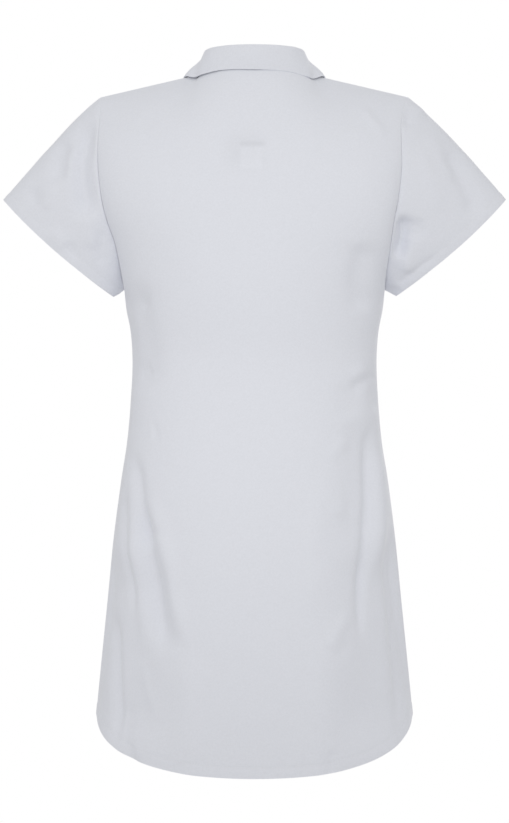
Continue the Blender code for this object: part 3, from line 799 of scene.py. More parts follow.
def back_places(name):
    levels = body_levels()
    shares = graded(row_lengths(back_form, levels), COLUMN_SPACING, (0.0,), SEAM_COLUMNS)
    u = np.hstack([-shares[:, :0:-1], shares])
    places = eased(back_form(u, levels[:, None]), levels, np.abs(u))
    return finish_panel(name, places, BACK_FOLDS)


def tucked(places):
    """The left front, sunk where the right front lies over it."""
    share = smooth_step((TUCK_END_X - places[..., 0]) / (TUCK_END_X - TUCK_START_X))
    share = share * smooth_step((TUCK_TOP_Z - places[..., 2]) / TUCK_FADE)
    return outward(places, -TUCK_DEPTH * share)


def front_places(name):
    levels = body_levels()
    shares = graded(row_lengths(front_form, levels), COLUMN_SPACING, EDGE_COLUMNS, SEAM_COLUMNS)
    places = eased(front_form(shares, levels[:, None]), levels, shares)
    places = tucked(places) if name == "front_left" else mirrored(places)
    return finish_panel(name, places, FRONT_FOLDS)


def cuff_place(angle):
    """The cuff's rim: angle 0 at its top corner, half a turn at its lowest point."""
    top, bottom = np.array(CUFF_TOP), np.array(CUFF_BOTTOM)
    out = unit(np.cross((0.0, 1.0, 0.0), top - bottom))
    angle = angle[..., None]
    middle = (top + bottom) / 2 + (top - bottom) / 2 * np.cos(angle)
    depth = CUFF_HALF_DEPTH * np.sin(angle) * np.array((0.0, 1.0, 0.0))
    return middle + depth + out * CUFF_BOW * np.sin(angle) ** 2


SLEEVE_AROUND = 132
SLEEVE_HEM_ROWS = (0.0, 0.8, 2.0, 5.0, 8.0, 10.6, 12.0, 13.4)
SLEEVE_STITCH = 12.0
SLEEVE_TOP_ROWS = (0.0, 0.9, 2.0)
SLEEVE_ROWS = 34
SLEEVE_REAR_Y = -4.0
SLEEVE_REAR_FADE = 12.0
SLEEVE_SEAM_FADE = 9.0


def sleeve_places(name):
    """Rings from the armhole to the cuff, round from the underarm by the back."""
    left, sign = name == "sleeve_left", sign_of(name)
    turn = np.linspace(0, 2, SLEEVE_AROUND + 1)
    back_line = ARMHOLE_BACK_LINE if left else ARMHOLE_BACK_RIGHT_LINE
    start = np.where(
        (turn <= 1)[:, None],
        back_line.at(np.clip(turn, 0, 1)),
        ARMHOLE_FRONT_LINE.at(np.clip(2 - turn, 0, 1)),
    )
    angle = math.pi * (1 - turn)
    end = cuff_place(angle)
    length = np.linalg.norm(end - start, axis=1)
    t = graded(length, 1, SLEEVE_TOP_ROWS, SLEEVE_HEM_ROWS, SLEEVE_ROWS).T
    upper = np.cos(angle / 2) ** 2
    out = unit(np.stack([SLEEVE_LEAN * upper, np.sin(angle), np.cos(angle)], -1))
    full = SLEEVE_FULLNESS * upper * np.sin(math.pi * np.clip(t, 0, 1) ** SLEEVE_FULL_EARLY)
    places = start + (end - start) * t[..., None] + out * full[..., None]
    from_cuff, from_seam = length * (1 - t), length * t
    x, y, z = np.moveaxis(places, -1, 0)
    rear = smooth_step((y - SLEEVE_REAR_Y) / SLEEVE_REAR_FADE)
    back_folds = SLEEVE_FOLDS_BACK_LEFT if left else SLEEVE_FOLDS_BACK_RIGHT
    amount = relief(back_folds, x * sign, z) * rear + relief(SLEEVE_FOLDS_FRONT, x, z) * (1 - rear)
    amount += soft_waves(places, WAVE_SHIFTS[name])
    amount *= smooth_step(from_seam / SLEEVE_SEAM_FADE)
    amount += seam_dip(from_seam, z) + hem_relief(from_cuff, SLEEVE_STITCH)
    places = places if left else mirrored(places)
    return places + normals_of(places, sign, closed=True) * amount[..., None]


def lapel_layer(u, level):
    """The layer that is turned out over a front: lapels and collar points."""
    u = np.asarray(u, float)
    lift = STACK + LAPEL_LIFT * np.sin(math.pi * np.minimum(u / GORGE_OUTER[0], 0.5))
    return outward(front_form(u, level), lift)


def gorge_place(share):
    """Along the seam of lapel and collar, from the roll line to the notch."""
    u = GORGE_INNER[0] + (GORGE_OUTER[0] - GORGE_INNER[0]) * share
    return u, GORGE_INNER[1] + (GORGE_OUTER[1] - GORGE_INNER[1]) * share


def crossing(places):
    """0 where the left lapel lies under the right front's edge, 1 where it has come out."""
    height = (places[..., 2] - UNDERARM_Z) / (NECK_POINT[2] - UNDERARM_Z)
    right_edge = FRONT_OVERLAP - (NECK_HALF_WIDTH + FRONT_OVERLAP) * height
    return smooth_step((places[..., 0] - right_edge - LAPEL_CLEAR) / LAPEL_CROSSING)


LAPEL_ROWS = 64
LAPEL_ACROSS = 34
ROLL_STEPS = 8
FACING_STEPS = 4
LAPEL_UNDER = 2.3
LAPEL_BESIDE = 0.03
FACING_CURL = 0.012


def lapel_places(name):
    """The lapel: inner facing, roll over the front's edge, then out to its own edge."""
    left = name == "lapel_left"
    rows = []
    for h in LAPEL_START + (1 - LAPEL_START) * np.linspace(0, 1, LAPEL_ROWS + 1):
        across = np.linspace(0, 2, LAPEL_ACROSS + 1)
        past = np.maximum(across - 1, 0)
        u, level = gorge_place(np.minimum(across, 1.0))
        u = (u + (LAPEL_TIP[0] - GORGE_OUTER[0]) * past) * h**LAPEL_EDGE_POWER
        level = 1 + (level + (LAPEL_TIP[1] - GORGE_OUTER[1]) * past - 1) * h
        layer, plain = lapel_layer(u, level), front_form(u, level)
        beside = front_form(LAPEL_BESIDE, float(level[0]))
        if left:
            share = crossing(plain)[..., None]
            plain, beside = tucked(plain), tucked(beside)
            under = outward(plain, LAPEL_UNDER)
            layer = under + (layer - under) * share
        edge = plain[0]
        out = outward(edge, 1.0) - edge
        away = edge - beside
        away = unit(away - out * away.dot(out))
        grown = LAPEL_END_LEFT + (1 - LAPEL_END_LEFT) * smooth_step(h / LAPEL_END)
        radius = LAPEL_ROLL * grown
        turn = np.linspace(-math.pi / 2, math.pi / 2, ROLL_STEPS + 1)[:-1, None]
        roll = layer[0] - out * radius + radius * (out * np.sin(turn) + away * np.cos(turn))
        back = np.linspace(FACING_SHOWN * grown, 0, FACING_STEPS + 1)[:-1, None]
        facing = roll[0] - away * back - out * (FACING_CURL * back**2)
        rows.append(np.vstack([facing, roll, layer]))
    places = np.array(rows)
    return places if left else mirrored(places)


COLLAR_STATIONS = 132
STAND_STEPS = 6
COLLAR_ROLL_STEPS = 10
FALL_STEPS = 18
GORGE_PACE = 1.5
COLLAR_REAR_Y = 10.0
COLLAR_REAR_FADE = 20.0


def collar_rails():
    """The collar's neck seam, roll and lower edge, each from the centre back to its end."""
    gorge = ROLL_LINE.at(GORGE_INNER[1] - 1 + 2 * GORGE_GAP_LEVEL)
    neck = [neck_place(share) for share in COLLAR_NECK_SHARES]
    neck += [*(ROLL_LINE.at(share) for share in COLLAR_ROLL_LINE_SHARES), gorge]
    fold_line = [*COLLAR_FOLD, gorge + np.array(COLLAR_FOLD_END)]
    edge = [*(above_panel(*knot) for knot in COLLAR_EDGE), lapel_layer(*COLLAR_TIP)]
    seat = np.array((0.0, 0.0, COLLAR_SEAT))
    return (Line(line, True) for line in ([point + seat for point in neck], fold_line, edge))


def above_panel(panel, u, level, out):
    """A place off the outer face of a panel."""
    form, sign = (back_form, -1) if panel == "back" else (front_form, 1)
    step = 0.004
    across = form(u + step, level) - form(u - step, level)
    upward = form(u, level) - form(u, level - step)
    return form(u, level) + unit(np.cross(across, upward) * sign) * out


def collar_section(neck, fold_place, edge, bow, radius):
    """Up the stand, over the roll and down the fall, on the side away from the body."""
    up = unit(fold_place - neck)
    across = edge - fold_place
    across = unit(across - up * across.dot(up))
    centre = fold_place + (across - up) * radius
    t = np.linspace(0, 1, STAND_STEPS + 1)[:-1, None]
    stand = neck + (fold_place - up * radius - neck) * t
    turn = np.linspace(0, math.pi, COLLAR_ROLL_STEPS + 1)[:, None]
    roll = centre + (up * np.sin(turn) - across * np.cos(turn)) * radius
    t = np.linspace(0, 1, FALL_STEPS + 1)[1:, None]
    fall = roll[-1] + (edge - roll[-1]) * t + across * bow * np.sin(math.pi * t)
    return np.vstack([stand, roll, fall])


def collar_end():
    """The fall at the collar's front end, laid along the gorge to the collar's tip."""
    run = GORGE_PACE * np.linspace(0, 1, FALL_STEPS + 1)[1:]
    u, level = gorge_place(np.minimum(run, 1.0))
    past = np.maximum(run - 1, 0) / (GORGE_PACE - 1)
    level = level + 2 * GORGE_GAP_LEVEL
    u = u + (COLLAR_TIP[0] - u) * past
    level = level + (COLLAR_TIP[1] - level) * past
    return lapel_layer(u, level)


COLLAR_DENTS = (
    # how far round as x, how far down the fall as share, half-widths, depth
    (-57.0, 0.35, 7.0, 0.25, -1.3),
    (-38.0, 0.5, 9.0, 0.6, -0.9),
    (44.0, 0.5, 8.0, 0.6, -0.9),
    (5.0, 0.5, 16.0, 0.6, 0.7),
    (-72.0, 0.75, 8.0, 0.3, 1.2),
)


def collar_places(name):
    """The collar from end to end, its right half the left one's mirror image but for dents."""
    neck, fold_line, edge = collar_rails()
    shares = np.linspace(0, 1, COLLAR_STATIONS // 2 + 1)
    endings = smooth_step((shares - COLLAR_END_SHARE) / (1 - COLLAR_END_SHARE))
    fronts = smooth_step((shares - COLLAR_BOW_START) / COLLAR_BOW_SPAN)
    stations = []
    for share, ending, front in zip(shares, endings, fronts):
        bow = (COLLAR_BOW + COLLAR_BOW_FRONT * front) * (1 - ending)
        radius = COLLAR_ROLL + (COLLAR_ROLL_END - COLLAR_ROLL) * ending
        stations.append(
            collar_section(neck.at(share), fold_line.at(share), edge.at(share), bow, radius)
        )
    places = np.array(stations)
    move = np.zeros_like(places[-1])
    move[-FALL_STEPS:] = collar_end() - places[-1][-FALL_STEPS:]
    roll = np.linspace(0, 1, COLLAR_ROLL_STEPS + 1)[1:, None]
    move[STAND_STEPS + 1:-FALL_STEPS] = move[-FALL_STEPS] * roll
    places = places + move * endings[:, None, None]
    places = np.concatenate([mirrored(places[:0:-1]), places])
    normals = normals_of(places, sign_of(name))
    down = (np.arange(places.shape[1]) - STAND_STEPS - COLLAR_ROLL_STEPS) / FALL_STEPS
    down = np.clip(down, -0.5, 1)
    x = places[..., 0]
    rear = smooth_step((places[..., 1] - COLLAR_REAR_Y) / COLLAR_REAR_FADE)
    places[..., 2] += COLLAR_TILT * x / NECK_HALF_WIDTH * np.maximum(down, 0) * rear
    amount = np.zeros(x.shape)
    for middle, low, wide, tall, depth in COLLAR_DENTS:
        amount += depth * np.exp(-((x - middle) / wide) ** 2 - ((down - low) / tall) ** 2) * rear
    return places + normals * amount[..., None]


LABEL_GRID = 14
LABEL_SAMPLES = 400
LABEL_SAG = 0.5


def label_places():
    """A bare tab inside the centre back, just inside the cloth."""
    steps = np.linspace(0, 1, LABEL_GRID + 1)
    heights = LABEL_TOP_Z - LABEL_SIDE * steps[::-1]
    shares = np.linspace(0, 1, LABEL_SAMPLES)
    levels = 1 + np.interp(heights, CENTRE_BACK_LINE.at(shares)[:, 2], shares)
    places = back_form((steps - 0.5)[None, :] * LABEL_REACH, levels[:, None])
    places[..., 0] = LABEL_SIDE * (steps - 0.5)
    places[..., 2] = heights[:, None]
    gap = bpy.context.scene.coat_sizes.wall / MM + LABEL_GAP
    sag = LABEL_SAG * np.sin(math.pi * steps)[:, None] * np.ones_like(steps)
    return outward(places, -gap - sag)


PLACES = {}
MAKERS = {
    "back": back_places,
    "front": front_places,
    "sleeve": sleeve_places,
    "lapel": lapel_places,
    "collar": collar_places,
    "neck": lambda name: label_places(),
}


def placed(name):
    """A sheet's finished places, worked out once."""
    if name not in PLACES:
        PLACES[name] = MAKERS[name.split("_")[0]](name)
    return PLACES[name]


def sign_of(name):
    """Which way round a sheet's rows and columns face outwards."""
    return 1 if name.endswith("left") else -1


def deselect():
    if bpy.context.object and bpy.context.object.mode != "OBJECT":
        bpy.ops.object.mode_set(mode="OBJECT")
    bpy.ops.object.select_all(action="DESELECT")


def only(obj):
    deselect()
    obj.select_set(True)
    bpy.context.view_layer.objects.active = obj


def added(operator, **settings):
    """The object that an operator adds."""
    deselect()
    operator(**settings)
    return bpy.context.active_object


def vertex_places(mesh):
    flat = np.empty(len(mesh.vertices) * 3)
    mesh.vertices.foreach_get("co", flat)
    return flat.reshape(-1, 3)


def with_modifier(obj, kind, **settings):
    """A modifier on the active object, set and applied."""
    modifier = obj.modifiers.new(kind.title(), kind)
    for name, value in settings.items():
        setattr(modifier, name, value)
    bpy.ops.object.modifier_apply(modifier=modifier.name)


def sewn_cloth(name, suffix, wall, finish="white_cotton", slot="cotton", closed=False):
    """A grid whose vertices take their finished places, given a wall on its inner side."""
    places = placed(name)
    rows, columns = places.shape[:2]
    steps = {"x_subdivisions": columns - 1, "y_subdivisions": rows - 1}
    obj = added(bpy.ops.mesh.primitive_grid_add, size=1, calc_uvs=True, **steps)
    obj.name = obj.data.name = name + suffix
    mesh = obj.data
    flat = vertex_places(mesh)
    column = np.rint((flat[:, 0] + 0.5) * (columns - 1)).astype(int)
    row = np.rint((flat[:, 1] + 0.5) * (rows - 1)).astype(int)
    mesh.vertices.foreach_set("co", (places[row, column] * MM).ravel())
    across = runs_along(places, 1)
    across = across - across[:, columns // 2:columns // 2 + 1]
    uv = np.stack([across, runs_along(places, 0)], -1) * MM
    corner = np.empty(len(mesh.loops), dtype=int)
    mesh.loops.foreach_get("vertex_index", corner)
    mesh.uv_layers[0].data.foreach_set("uv", uv[row[corner], column[corner]].ravel())
    mesh.update()
    only(obj)
    bpy.ops.object.mode_set(mode="EDIT")
    bpy.ops.mesh.select_all(action="SELECT")
    if sign_of(name) < 0:
        bpy.ops.mesh.flip_normals()
    if closed:
        bpy.ops.mesh.remove_doubles(threshold=WELD * MM)
    bpy.ops.object.mode_set(mode="OBJECT")
    with_modifier(obj, "SOLIDIFY", thickness=wall, offset=-1)
    bpy.ops.object.shade_smooth_by_angle(angle=math.radians(CLOTH_SMOOTH))
    return settle(obj, finish, slot, name)


def settle(obj, finish, slot, *nodes):
    """Its finish, its body and the solids that it stands for; the slot it is given is not used."""
    obj.data.materials.clear()
    obj.data.materials.append(finish_of(finish))
    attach(obj, BODY)
    if nodes:
        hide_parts(*nodes)
    return obj


def stitch_marks(name, runs, section=STITCH_SECTION, length=None, pitch=None):
    """Stitches along runs of (points, normals), one shape copied into one mesh."""
    sizes = bpy.context.scene.coat_sizes
    length = length or sizes.stitch / MM
    pitch = pitch or sizes.stitch_pitch / MM
    marks = []
    for points, normals in runs:
        travelled = runs_along(points[None], 1)[0]
        places = np.arange(pitch / 2, travelled[-1], pitch)
        look = (-STITCH_LOOK, STITCH_LOOK)
        behind, ahead = (read_along(places + step, travelled, points) for step in look)
        centres, ups = (read_along(places, travelled, source) for source in (points, normals))
        marks.append((centres, ahead - behind, ups))
    return thread_mesh(name, *map(np.concatenate, zip(*marks)), (length, *section))


def thread_mesh(name, centres, alongs, ups, size):
    """One small capsule, copied to every place with its own direction."""
    ball = {"segments": 6, "ring_count": 4, "radius": 0.5}
    pattern = added(bpy.ops.mesh.primitive_uv_sphere_add, **ball).data
    shape = vertex_places(pattern)[:, [2, 0, 1]] * size
    faces = [tuple(p.vertices) for p in pattern.polygons]
    bpy.ops.object.delete()
    centres, alongs, ups = (np.array(v, float) for v in (centres, alongs, ups))
    along = unit(alongs)
    up = unit(ups - along * np.sum(ups * along, axis=1, keepdims=True))
    points = centres[:, None] + shape @ np.stack([along, np.cross(up, along), up], 1)
    count = len(shape)
    mesh = bpy.data.meshes.new(name)
    everything = [tuple(v + n * count for v in f) for n in range(len(centres)) for f in faces]
    mesh.from_pydata((points.reshape(-1, 3) * MM).tolist(), [], everything)
    obj = bpy.data.objects.new(name, mesh)
    bpy.context.scene.collection.objects.link(obj)
    only(obj)
    bpy.ops.object.mode_set(mode="EDIT")
    bpy.ops.mesh.select_all(action="SELECT")
    bpy.ops.mesh.normals_make_consistent(inside=False)
    bpy.ops.object.mode_set(mode="OBJECT")
    bpy.ops.object.shade_smooth_by_angle(angle=math.radians(THREAD_SMOOTH))
    return obj


def sheet_line(name, distance, axis, from_end=False, trim=(0, 0), sign=None):
    """A run on a finished sheet at a distance from one edge, with its normals."""
    places, sign = placed(name), sign or sign_of(name)
    if axis == 0:
        places, sign = places.transpose(1, 0, 2), -sign
    if from_end:
        places, sign = places[:, ::-1], -sign
    travelled = runs_along(places, 1)
    run = [
        np.array([read_along(distance, steps, row) for steps, row in zip(travelled, sheet)])
        for sheet in (places, normals_of(places, sign))
    ]
    return [points[trim[0]:len(points) - trim[1]] for points in run]


def front_spot(x, z):
    """Where the right front's outer face has the given x and height, with its normal."""
    rows = []
    for row in placed("front_right"):
        row = row[np.argsort(row[:, 0])]
        rows.append(read_along(x, row[:, 0], row))
    rows = np.array(rows)
    rows = rows[np.argsort(rows[:, 2])]
    steps = (0, SPOT_STEP, -SPOT_STEP)
    spot, above, below = (read_along(z + step, rows[:, 2], rows) for step in steps)
    return spot, unit(np.cross((1.0, 0.0, 0.0), above - below))


def feed(tree, made, inputs):
    """Sets or links a node's inputs, given by name or by number."""
    for key, value in inputs.items():
        socket = made.inputs[key.replace("_", " ") if isinstance(key, str) else key]
        if isinstance(value, bpy.types.NodeSocket):
            tree.links.new(value, socket)
        else:
            socket.default_value = value


def node(tree, kind, *ordered, **named):
    """A shader node. Small letters name its settings, capitals its inputs, as do places."""
    made = tree.nodes.new("ShaderNode" + kind)
    for name in [n for n in named if n[0].islower()]:
        setattr(made, name, named.pop(name))
    feed(tree, made, {**dict(enumerate(ordered)), **named})
    return made


def arithmetic(tree, operation, *values):
    return node(tree, "Math", *values, operation=operation).outputs["Value"]


def bump(tree, **inputs):
    return node(tree, "Bump", **inputs).outputs["Normal"]


def fresh_material(name, colour, **inputs):
    """A material, its tree and its shader, with the shader's plain values set."""
    material = bpy.data.materials.new(name)
    material.use_nodes = True
    material.diffuse_color = (*colour, 1.0)
    tree = material.node_tree
    shader = tree.nodes["Principled BSDF"]
    feed(tree, shader, {"Base Color": (*colour, 1.0), **inputs})
    return material, tree, shader


def tinted(tree, factor, colour, low, high):
    """The colour made a little darker or lighter by a factor from 0 to 1."""
    ramp = node(tree, "ValToRGB", Fac=factor)
    for stop, place, share in zip(ramp.color_ramp.elements, TINT_STOPS, (low, high)):
        stop.position = place
        stop.color = (*(min(c * share, 1.0) for c in colour), 1.0)
    return ramp.outputs["Color"]


def within(tree, axis, centre, half, soft):
    """1 between two places on an axis, falling softly to 0 outside."""
    off = arithmetic(tree, "ABSOLUTE", arithmetic(tree, "SUBTRACT", axis, centre))
    past = arithmetic(tree, "SUBTRACT", off, half)
    return node(tree, "MapRange", past, From_Min=soft, From_Max=0.0).outputs["Result"]


def paint_label_light_and_shade(material):
    """Darker and lighter patches of painted shade and light over the label behind the cloth."""
    tree = material.node_tree
    shader = tree.nodes["Principled BSDF"]
    place = node(tree, "TexCoord").outputs["Object"]
    split = node(tree, "SeparateXYZ", place).outputs
    for x, z, wide, tall, soft, shade in LABEL_LIGHT_AND_SHADE:
        across = within(tree, split["X"], x, wide, soft)
        upward = within(tree, split["Z"], z, tall, soft)
        factor = arithmetic(tree, "MULTIPLY", across, upward)
        plain = shader.inputs["Base Color"].links[0].from_socket
        mix = node(tree, "Mix", factor, data_type="RGBA", blend_type="MULTIPLY")
        feed(tree, mix, {MIX_FIRST: plain, MIX_SECOND: (shade, shade, shade, 1.0)})
        feed(tree, shader, {"Base Color": mix.outputs[MIX_RESULT]})
    return material


# Painted shade and light over the label: middle x and z, half-width, half-height, soft edge, shade
LABEL_LIGHT_AND_SHADE = (
    # a broad soft darker patch about the label: painted shade
    (0.013, -0.113, 0.013, 0.010, 0.021, 0.966),
    # a thin darker bar: the painted shadow of the label's folded top
    (0.002, -0.1045, 0.0135, 0.0012, 0.0045, 0.952),
    # a lighter square over the label's body: painted light
    (0.004, -0.122, 0.0115, 0.012, 0.004, 1.03),
)


def woven(name, colour, pitch, crumple):
    """Plain-woven cotton: threads both ways on the cloth's own map, slubs and soft crumple."""
    lint = {"Sheen Weight": 0.4, "Sheen Roughness": 0.35, "Specular IOR Level": 0.25}
    material, tree, shader = fresh_material(name, colour, Roughness=0.88, **lint)
    place = node(tree, "TexCoord").outputs
    thread = {"Scale": WAVE_TURN / pitch, "Distortion": 0.6, "Detail": 1.0, "Detail_Scale": 2.0}
    warp, weft = (
        node(tree, "TexWave", place["UV"], bands_direction=way, **thread).outputs["Fac"]
        for way in "XY"
    )
    slub = node(tree, "TexNoise", place["Object"], Scale=420.0, Detail=3.0, Roughness=0.6)
    creases = node(tree, "TexNoise", place["Object"], Scale=34.0, Detail=4.0, Roughness=0.55)
    threads = arithmetic(tree, "MULTIPLY", warp, weft)
    weave = bump(tree, Height=threads, Strength=0.35, Distance=0.00006)
    soft = bump(
        tree, Height=creases.outputs["Fac"], Strength=crumple, Distance=0.0012, Normal=weave
    )
    base = tinted(tree, slub.outputs["Fac"], colour, 0.975, 1.015)
    feed(tree, shader, {"Base Color": base, "Normal": soft})
    return material


def moulded(name, colour):
    """Satin moulded plastic with a faint cloudiness."""
    material, tree, shader = fresh_material(name, colour, Roughness=0.32, Coat_Weight=0.15)
    place = node(tree, "TexCoord").outputs["Object"]
    cloud = node(tree, "TexNoise", place, Scale=260.0, Detail=2.0).outputs["Fac"]
    skin = bump(tree, Height=cloud, Strength=0.08, Distance=0.0002)
    feed(tree, shader, {"Base Color": tinted(tree, cloud, colour, 0.96, 1.02), "Normal": skin})
    return material


def spun(name, colour):
    """Sewing thread: fine twist across, faint lint."""
    material, tree, shader = fresh_material(name, colour, Roughness=0.7, Sheen_Weight=0.2)
    place = node(tree, "TexCoord").outputs["Object"]
    way = {"bands_direction": "DIAGONAL"}
    twist = node(tree, "TexWave", place, Scale=520.0, Distortion=1.5, **way).outputs["Fac"]
    ply = bump(tree, Height=twist, Strength=0.4, Distance=0.0001)
    feed(tree, shader, {"Base Color": tinted(tree, twist, colour, 0.9, 1.0), "Normal": ply})
    return material


def finish_of(name):
    """One material of each kind, made when it is first asked for."""
    if name in bpy.data.materials:
        return bpy.data.materials[name]
    colours, weave = bpy.context.scene.coat_colours, bpy.context.scene.coat_sizes.weave
    if name == "label_tape":
        return woven(name, tuple(colours.label), weave * TAPE_WEAVE, TAPE_CRUMPLE)
    if name == "white_thread":
        return spun(name, tuple(colours.thread))
    if name == "button_plastic":
        return moulded(name, tuple(colours.button))
    cotton = woven(name, tuple(colours.cotton), weave, COTTON_CRUMPLE)
    # the back's cotton gets the painted shade and light over the label
    return paint_label_light_and_shade(cotton) if name == "back_cotton" else cotton


class CoatBack(bpy.types.Operator):
    """The back panel, one piece from side seam to side seam"""

    bl_idname = "coat.back"
    bl_label = "Back"

    def execute(self, context):
        piece = sewn_cloth("back", "_panel", context.scene.coat_sizes.wall, "back_cotton")
        return {"FINISHED"}


class CoatFronts(bpy.types.Operator):
    """The two fronts, the wearer's right lapped over the left"""

    bl_idname = "coat.fronts"
    bl_label = "Fronts"

    def execute(self, context):
        for name in ("front_left", "front_right"):
            piece = sewn_cloth(name, "_panel", context.scene.coat_sizes.wall)
        return {"FINISHED"}


class CoatSleeves(bpy.types.Operator):
    """Short set-in sleeves with a turned hem"""

    bl_idname = "coat.sleeves"
    bl_label = "Sleeves"

    def execute(self, context):
        for name in ("sleeve_left", "sleeve_right"):
            piece = sewn_cloth(name, "_cloth", context.scene.coat_sizes.wall, closed=True)
        return {"FINISHED"}


class CoatLapels(bpy.types.Operator):
    """Lapels rolled out over the fronts"""

    bl_idname = "coat.lapels"
    bl_label = "Lapels"

    def execute(self, context):
        for name in ("lapel_left", "lapel_right"):
            piece = sewn_cloth(name, "_cloth", context.scene.coat_sizes.collar_wall)
        return {"FINISHED"}


class CoatCollar(bpy.types.Operator):
    """Collar, its stand folded over into the fall"""

    bl_idname = "coat.collar"
    bl_label = "Collar"

    def execute(self, context):
        piece = sewn_cloth("collar", "_cloth", context.scene.coat_sizes.collar_wall)
        return {"FINISHED"}


class CoatLabel(bpy.types.Operator):
    """Bare label sewn inside the centre back"""

    bl_idname = "coat.neck_label"
    bl_label = "Neck label"

    def execute(self, context):
        piece = sewn_cloth("neck_label", "_tape", LABEL_THICKNESS * MM, "label_tape", "label")
        return {"FINISHED"}


class CoatButtons(bpy.types.Operator):
    """Four-hole buttons sewn on the centre front"""

    bl_idname = "coat.buttons"
    bl_label = "Buttons"

    def execute(self, context):
        patterns = (
            ("disc", "button_plastic", self.button()),
            ("thread", "white_thread", self.thread()),
        )
        for n, height in enumerate(BUTTON_HEIGHTS, 1):
            spot, normal = front_spot(0.0, height)
            turn = Vector(normal).to_track_quat("Z", "X").to_euler()
            for kind, finish, pattern in patterns:
                only(pattern)
                bpy.ops.object.duplicate()
                piece = bpy.context.active_object
                piece.name = piece.data.name = f"button_{n}_{kind}"
                piece.rotation_euler = turn
                piece.location = Vector(spot + normal * BUTTON_SEAT) * MM
                bpy.ops.object.transform_apply(location=True, rotation=True, scale=True)
                settle(piece, finish, "button", *([f"button_{n}"] if kind == "disc" else []))
        for _, _, pattern in patterns:
            bpy.data.objects.remove(pattern)
        return {"FINISHED"}

    def button(self):
        """A turned disc with a rounded rim, a dished face and four holes."""
        obj = added(
            bpy.ops.mesh.primitive_cylinder_add,
            vertices=56,
            radius=BUTTON_RADIUS * MM,
            depth=BUTTON_THICKNESS * MM,
            location=(0, 0, BUTTON_THICKNESS / 2 * MM),
        )
        bpy.ops.object.transform_apply(location=True, rotation=True, scale=True)
        bpy.ops.object.mode_set(mode="EDIT")
        bpy.ops.mesh.select_all(action="DESELECT")
        bpy.ops.object.mode_set(mode="OBJECT")
        for face in obj.data.polygons:
            face.select = face.normal.z > FACING_UP
        bpy.ops.object.mode_set(mode="EDIT")
        bpy.ops.mesh.select_mode(type="FACE")
        for width, drop in BUTTON_FACE:
            bpy.ops.mesh.inset(thickness=width * MM)
            bpy.ops.transform.translate(value=(0, 0, -drop * MM))
        bpy.ops.object.mode_set(mode="OBJECT")
        angle = math.radians(BUTTON_RIM_ANGLE)
        with_modifier(obj, "BEVEL", width=BUTTON_RIM * MM, segments=3, angle_limit=angle)
        for x, y in ((-1, -1), (-1, 1), (1, -1), (1, 1)):
            drill = added(
                bpy.ops.mesh.primitive_cylinder_add,
                vertices=16,
                radius=BUTTON_HOLE_RADIUS * MM,
                depth=DRILL_LENGTH * MM,
                location=Vector((x * BUTTON_HOLE_OFF, y * BUTTON_HOLE_OFF, DRILL_MIDDLE_Z)) * MM,
            )
            only(obj)
            with_modifier(obj, "BOOLEAN", operation="DIFFERENCE", solver="EXACT", object=drill)
            bpy.data.objects.remove(drill)
        only(obj)
        bpy.ops.object.shade_smooth_by_angle(angle=math.radians(BUTTON_SMOOTH))
        return obj

    def thread(self):
        """Two bars of thread through the holes."""
        marks = [
            (
                (BAR_REACH * t, y + strand, BUTTON_THICKNESS - BAR_DEPTH - BAR_BEND * t**4),
                (1, 0, -BAR_LEAN * t**3),
                (0, 0, 1),
            )
            for y in (-BAR_OFF, BAR_OFF)
            for strand in BAR_STRANDS
            for t in np.linspace(-1, 1, BAR_STITCHES)
        ]
        return thread_mesh("button_thread", *zip(*marks), BAR_SIZE)


class CoatButtonholes(bpy.types.Operator):
    """Worked buttonholes beside the buttons"""

    bl_idname = "coat.buttonholes"
    bl_label = "Buttonholes"

    def execute(self, context):
        marks = []
        for height in BUTTON_HEIGHTS:
            for x in np.arange(HOLE_START, HOLE_END, -HOLE_PITCH):
                spot, normal = front_spot(x, height)
                for side in (-1, 1):
                    place = spot + (0, 0, side * HOLE_LIP) + normal * HOLE_LIFT
                    marks.append((place, (side * HOLE_LEAN, 0, 1), normal))
            for x in HOLE_BARS:
                spot, normal = front_spot(x, height)
                for strand in HOLE_BAR_STRANDS:
                    for rise in (0, HOLE_BAR_RISE):
                        place = spot + (strand, 0, rise) + normal * HOLE_BAR_LIFT
                        marks.append((place, (0, 0, 1), normal))
        piece = thread_mesh("buttonhole_thread", *zip(*marks), HOLE_STITCH)
        settle(piece, "white_thread", "cotton")
        return {"FINISHED"}


class CoatStitching(bpy.types.Operator):
    """Rows of stitches on hems, edges, collar and lapels"""

    bl_idname = "coat.stitching"
    bl_label = "Stitching"

    def execute(self, context):
        panels = ("back", "front_left", "front_right")
        self.sew("hem_stitches", [sheet_line(name, HEM_STITCH, 0) for name in panels])
        trim = (FRONT_TRIM, int(np.sum(body_levels() >= 1.0)))
        fronts = ("front_right", "front_left")
        edges = [sheet_line(name, EDGE_STITCH, 1, trim=trim) for name in fronts]
        self.sew("front_edge_stitches", edges)
        for name in ("sleeve_left", "sleeve_right"):
            self.sew(name + "_stitches", [sheet_line(name, SLEEVE_STITCH, 0, from_end=True)])
        self.sew("collar_stitches", [sheet_line("collar", EDGE_STITCH, 1, from_end=True)])
        for name in ("lapel_left", "lapel_right"):
            run = sheet_line(name, EDGE_STITCH, 1, from_end=True, trim=LAPEL_TRIM)
            self.sew(name + "_stitches", [run])
        inset, *size = TAPE_STITCH
        tape = [sheet_line("neck_label", inset, 1, end, (1, 1), 1) for end in (False, True)]
        piece = stitch_marks("label_stitches", tape, *size)
        settle(piece, "white_thread", "label")
        return {"FINISHED"}

    def sew(self, name, runs):
        lifted = [(points + normals * STITCH_LIFT, normals) for points, normals in runs]
        settle(stitch_marks(name, lifted), "white_thread", "cotton")


